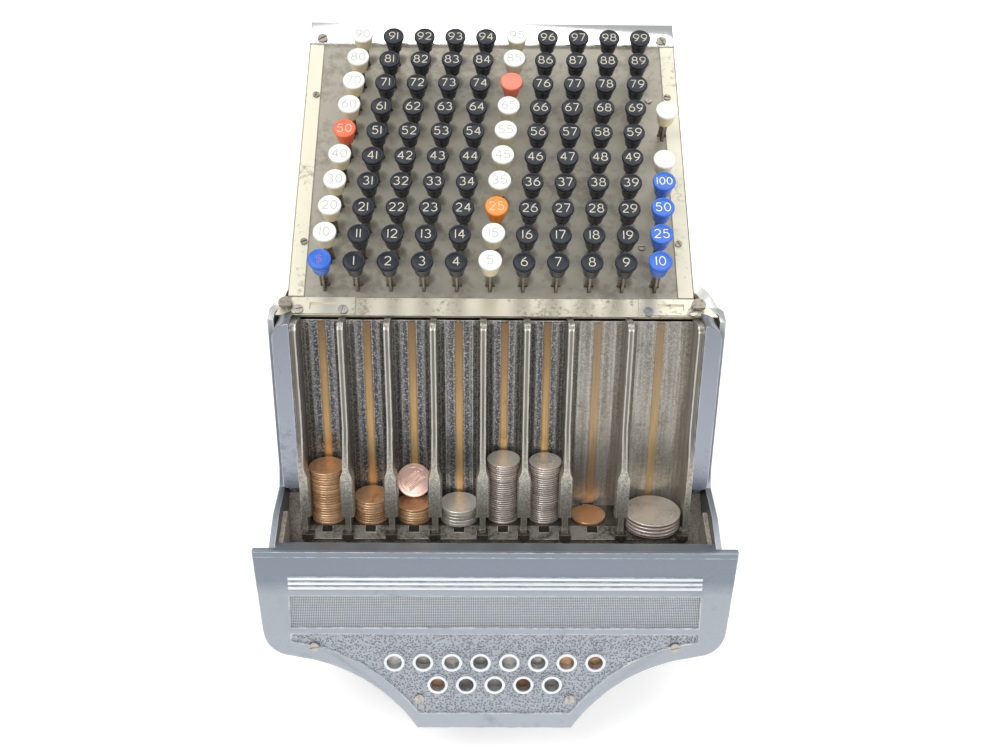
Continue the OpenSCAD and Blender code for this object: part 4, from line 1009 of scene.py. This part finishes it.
# %% [markdown]
# The top coin of each stack gets a plain relief of our own: a wreath and a star, and for the
# leaning penny a hall with columns. The relief is a polar grid whose height is a function of place.


# %% Relief on a coin's face
def relief(kind, x, y):
    """Height from 0 to 1 on the unit disc."""
    r, a = np.hypot(x, y), np.arctan2(y, x)
    beads = (abs(r - 0.86) < 0.03) * (np.cos(a * 40) > 0)
    if kind == "hall":
        columns = (abs(x) < 0.56) * (abs(y) < 0.18) * (np.cos(x * 2 * np.pi * 9) > -0.1)
        beams = (abs(x) < 0.62) * ((abs(y - 0.24) < 0.05) | (abs(y + 0.24) < 0.05))
        roof = (abs(x) < 0.48) * (abs(y - 0.36) < 0.05)
        step = (abs(x) < 0.7) * (abs(y + 0.34) < 0.03)
        return np.clip(columns + beams + roof + step + beads, 0, 1)
    leaves = (abs(r - 0.68) < 0.1 * abs(np.sin(a * 9)) + 0.01) * (abs(a + np.pi / 2) > 0.12)
    star = r < 0.26 / (0.62 + 0.38 * np.cos(5 * (a - np.pi / 2)))
    return np.clip(leaves + star * (r < 0.42) + beads, 0, 1)


def coin_face(kind, diameter, thick, turn):
    """A shallow relief disc: rings from 0.02 to the rim, raised by the relief's height."""
    field = diameter / 2 - 1.1
    r = np.linspace(0.02, 1, 34)[:, None]
    a = np.arange(96)[None] * 2 * np.pi / 96
    x, y = r * np.cos(a), r * np.sin(a)
    z = thick - coin_play - 0.13 + 0.1 * relief(kind, x, y) * (r < 0.97)
    px = (x * math.cos(turn) - y * math.sin(turn)) * field
    py = (x * math.sin(turn) + y * math.cos(turn)) * field
    top_rings = np.stack([px, py, z], -1)
    foot = top_rings[-1:].copy()
    foot[..., 2] -= 0.2
    return stacked(np.concatenate([top_rings, foot]))


# %% Stacks
rng = np.random.default_rng(11)


def stack_of(channel, indices):
    """Coins of one channel by their number from the bottom: shape, clad band, tone per point."""
    d, t = coin_ds[channel], coin_ts[channel]
    base = coin_shape(d, t)
    shapes, bands, tones = [], [], []
    for i in indices:
        loose = 0.22 if i > 0 else 0.05
        dx, dy = rng.uniform(-loose, loose, 2)
        centre = (coin_x[channel] + dx, -coin_out[channel] - d / 2 - 0.1 - abs(dy), i * t)
        shapes.append(copies(base, [centre]))
        bands.append(side_faces(base, t - coin_play))
        tones.append(np.full(len(base[0]), rng.uniform(0, 1)))
        if i == max(indices) and i > 0:
            face = coin_face("wreath", d, t, rng.uniform(0, 6))
            shapes.append(copies(face, [centre]))
            bands.append(np.zeros(face_count(face), int))
            tones.append(np.full(len(face[0]), tones[-1][0]))
    return joined(shapes), np.concatenate(bands), np.concatenate(tones)


def make_coins(name, channels, body, node, bottom=False):
    """All coins of some channels above the lowest one, or only the lowest ones."""
    got = [stack_of(c, [0] if bottom else range(1, coin_counts[c])) for c in channels]
    shapes, bands, tones = zip(*got)
    copper_coin = coin_ds[channels[0]] == penny_d
    solid = copper_coin or coin_ds[channels[0]] == nickel_d
    metals = [copper if copper_coin else silver] + [silver if solid else core, gap_shade]
    parts = np.concatenate(bands)
    parts[(parts == 1) & solid] = 0
    piece(name, placed(on_tray, joined(shapes)), metals, body, node, parts, np.concatenate(tones), sharp=25)


make_coins("penny_stacks", [0, 1, 2], "tray", "pennies")
make_coins("nickel_stack", [3], "tray", "nickels")
make_coins("dime_stacks", [4, 5], "tray", "dimes")
make_coins("half_dollar_stack", [7], "tray", "half_dollars")
for c in range(8):
    make_coins(f"lowest_coin_{c + 1}", [c], f"eject_{c + 1}", f"ejector_{c + 1}", bottom=True)

# %% The penny that leans on the third stack
lean = math.radians(90 - 18)
lean_left, lean_gap, lean_lift = 0.4, 0.55, 0.03
flat_coin = joined([coin_shape(penny_d, penny_t), coin_face("hall", penny_d, penny_t, 0.75)])
px, py, pz = flat_coin[0].T
leaning = np.c_[px, py * math.cos(lean) - pz * math.sin(lean), py * math.sin(lean) + pz * math.cos(lean)]
leaning += [channel_x[2] - lean_left, -lean_gap - penny_d / 2 * math.cos(lean),
            coin_counts[2] * penny_t + lean_lift + penny_d / 2 * math.sin(lean)]
pink_copper = worn_coin("bright_copper", (0.80, 0.50, 0.40), (0.90, 0.60, 0.50), (0.50, 0.26, 0.19), 0.55)
piece("leaning_penny", (on_tray(leaning), flat_coin[1]), [pink_copper], "tray", "pennies",
      tones=np.full(len(leaning), 0.7), sharp=25)
print("coins in the tray", sum(coin_counts) + 1)

# %% [markdown]
# The windows of the front plate show coins that wait in the hopper. They stand on edge behind the
# plate in four layers, so that coins of neighbouring windows pass behind each other.

# %% Coins behind the windows
window_pitch, plate_t = 15.2, 4.0
upper_row, lower_row = -64.8, -78.4
layer_t, layer_gap = 1.75, 0.3
windows = [((i - 3.5) * window_pitch, upper_row, i % 2) for i in range(8)]
windows += [((i - 2) * window_pitch, lower_row, 2 + i % 2) for i in range(5)]
shapes, metals, tones = [], [], []
for x, z, layer in windows:
    kind = int(rng.integers(0, 3) > 0)
    d, t = (penny_d, penny_t) if kind == 0 else (dime_d, dime_t)
    dx, dz = rng.uniform(-3.0, 3.0, 2)
    points, faces = joined([coin_shape(d, t), coin_face("wreath", d, t, rng.uniform(0, 6))])
    depth = plate_t + layer_gap + layer_t * layer + t
    points = np.c_[points[:, 0] + x + dx, depth - points[:, 2], points[:, 1] + z + dz]
    shapes.append((points, faces))
    metals.append(np.full(face_count(shapes[-1]), kind))
    tones.append(np.full(len(points), rng.uniform(0.1, 0.9)))
piece("hopper_coins", placed(on_plate, joined(shapes)), [copper, silver], "frame",
      parts=np.concatenate(metals), tones=np.concatenate(tones), sharp=25)
print("coins behind the windows", len(windows))

# %% [markdown]
# ## Ejector slides
# Behind each lowest coin lies a thin steel finger with a block at its tail. They are simple
# milled pieces, so two boxes with small chamfers stand for them, drawn as outlines.

# %% Ejector slides
finger_w, finger_t, tail_l, tail_h = 6.0, 1.2, 5.0, 7.0
eject_stroke, tray_back_t = 18.0, 3.0
finger_back = eject_stroke + tray_back_t + 1


def chamfered_box(x, width, y0, y1, height, cut):
    """A box centred on x whose upright edges are cut at 45 degrees."""
    x0, x1 = x - width / 2, x + width / 2
    outline = [[x0 + cut, y0], [x1 - cut, y0], [x1, y0 + cut], [x1, y1 - cut],
               [x1 - cut, y1], [x0 + cut, y1], [x0, y1 - cut], [x0, y0 + cut]]
    return prism(outline, [0, height])


for c in range(8):
    x = coin_x[c]
    finger = chamfered_box(x, finger_w, -coin_out[c] + 0.2, finger_back + 1, finger_t, 0.5)
    tail = chamfered_box(x, finger_w + 2, finger_back, finger_back + tail_l, tail_h, 0.6)
    piece(f"ejector_slide_{c + 1}", placed(on_tray, joined([finger, tail])), [screw_steel],
          f"eject_{c + 1}", f"ejector_{c + 1}")

# %% [markdown]
# ## Castings, sheet metal and tray
# These CAD pieces have the right shape, but real castings have no knife edges. A copy of each has
# its triangles merged and a Bevel modifier rounds the edges, which then catch the light.

# %% Rounded copies of CAD pieces
for node, width, material, segments in (
        ("left_handle", 2.8, handle_metal, 4), ("right_handle", 2.8, handle_metal, 4),
        ("left_side_casting", 0.5, aluminium, 2), ("right_side_casting", 0.5, aluminium, 2),
        ("deck_back_bar", 0.25, bar_metal, 2), ("deck_side_rails", 0.15, cream, 2),
        ("front_cross_plate", 0.4, cross_metal, 2), ("latch_brackets", 0.15, cross_metal, 2),
        ("coin_tray", 0.35, tray_metal, 2), ("tray_foot_plate", 0.35, foot_metal, 2),
        ("hopper_front_plate", 0.3, plate_metal, 2), ("slotted_screws", 0.12, screw_steel, 1),
        ("rear_cover", 0.3, casing, 2), ("base_plate", 0.5, casing, 2)):
    softened(node, width, material, segments)

# %% Finishes for the CAD pieces that stay as they are
NODE_FINISHES = {
    "hopper_funnel": hopper_lining, "keyboard_deck": deck_metal,
    "stem_guide_plate": stem_steel, "tray_stop_studs": stem_steel, "lever_shaft": screw_steel,
    "shaft_bushes": brass, "tray_wear_strips": brass, "handle_studs": handle_metal,
    "coin_pointers": brass, "rubber_feet": rubber,
    **{f"kick_lever_{i}": stem_steel for i in range(1, 9)},
}
for node, material in NODE_FINISHES.items():
    for slot in frame["nodes"][node].material_slots:
        slot.material = material
print("finished nodes", len(NODE_FINISHES))

# %% [markdown]
# ## Studio
# A white floor and four soft lamps: a key lamp at the front left, one above, one at the right and
# one in front. Light Path lets the floor glow a little for the camera and in reflections only.


# %% Floor and lamps
def floor_white(tree):
    """A white that glows where the camera or a mirror sees it."""
    path = put(tree, "LightPath").outputs
    seen = calc(tree, "MAXIMUM", path["Is Camera Ray"], path["Is Glossy Ray"])
    tint = blend(tree, noise(tree, 3.0), (0.88, 0.88, 0.88), (0.9, 0.9, 0.9))
    return {"Base_Color": tint, "Emission_Strength": times(tree, seen, 0.42)}


floor_size = 6.0
floor_mesh = bpy.data.meshes.new("floor")
half = floor_size / 2
floor_mesh.from_pydata([(-half, -half, 0), (half, -half, 0), (half, half, 0), (-half, half, 0)], [],
                       [(0, 1, 2, 3)])
floor = new_object("floor", floor_mesh)
floor_mesh.materials.append(finish("floor_white", floor_white, Roughness=0.9,
                                   Emission_Color=(1, 1, 1, 1)))


def softbox(name, at, target, size, power):
    """A rectangular lamp that looks at a target."""
    data = bpy.data.lights.new(name, "AREA")
    data.shape = "RECTANGLE"
    data.size, data.size_y = size
    data.energy = power
    lamp = new_object(name, data)
    lamp.location = at
    lamp.rotation_euler = (Vector(target) - Vector(at)).to_track_quat("-Z", "Y").to_euler()


softbox("key_lamp", (-0.7, -0.5, 1.6), (0, 0, 0.15), (0.9, 0.9), 11)
softbox("top_lamp", (0.2, 0.6, 1.7), (0, 0, 0.2), (1.4, 0.8), 9)
softbox("right_lamp", (1.3, -0.5, 0.9), (0, 0, 0.15), (0.7, 0.9), 3.5)
softbox("front_lamp", (0.1, -1.3, 1.25), (0, -0.05, 0.1), (1.0, 0.6), 8)

world = bpy.data.worlds.new("studio")
bpy.context.scene.world = world
world.use_nodes = True
background = world.node_tree.nodes["Background"]
background.inputs["Color"].default_value = (0.95, 0.97, 1.0, 1)
background.inputs["Strength"].default_value = 0.52
bpy.context.scene.view_settings.view_transform = "Standard"
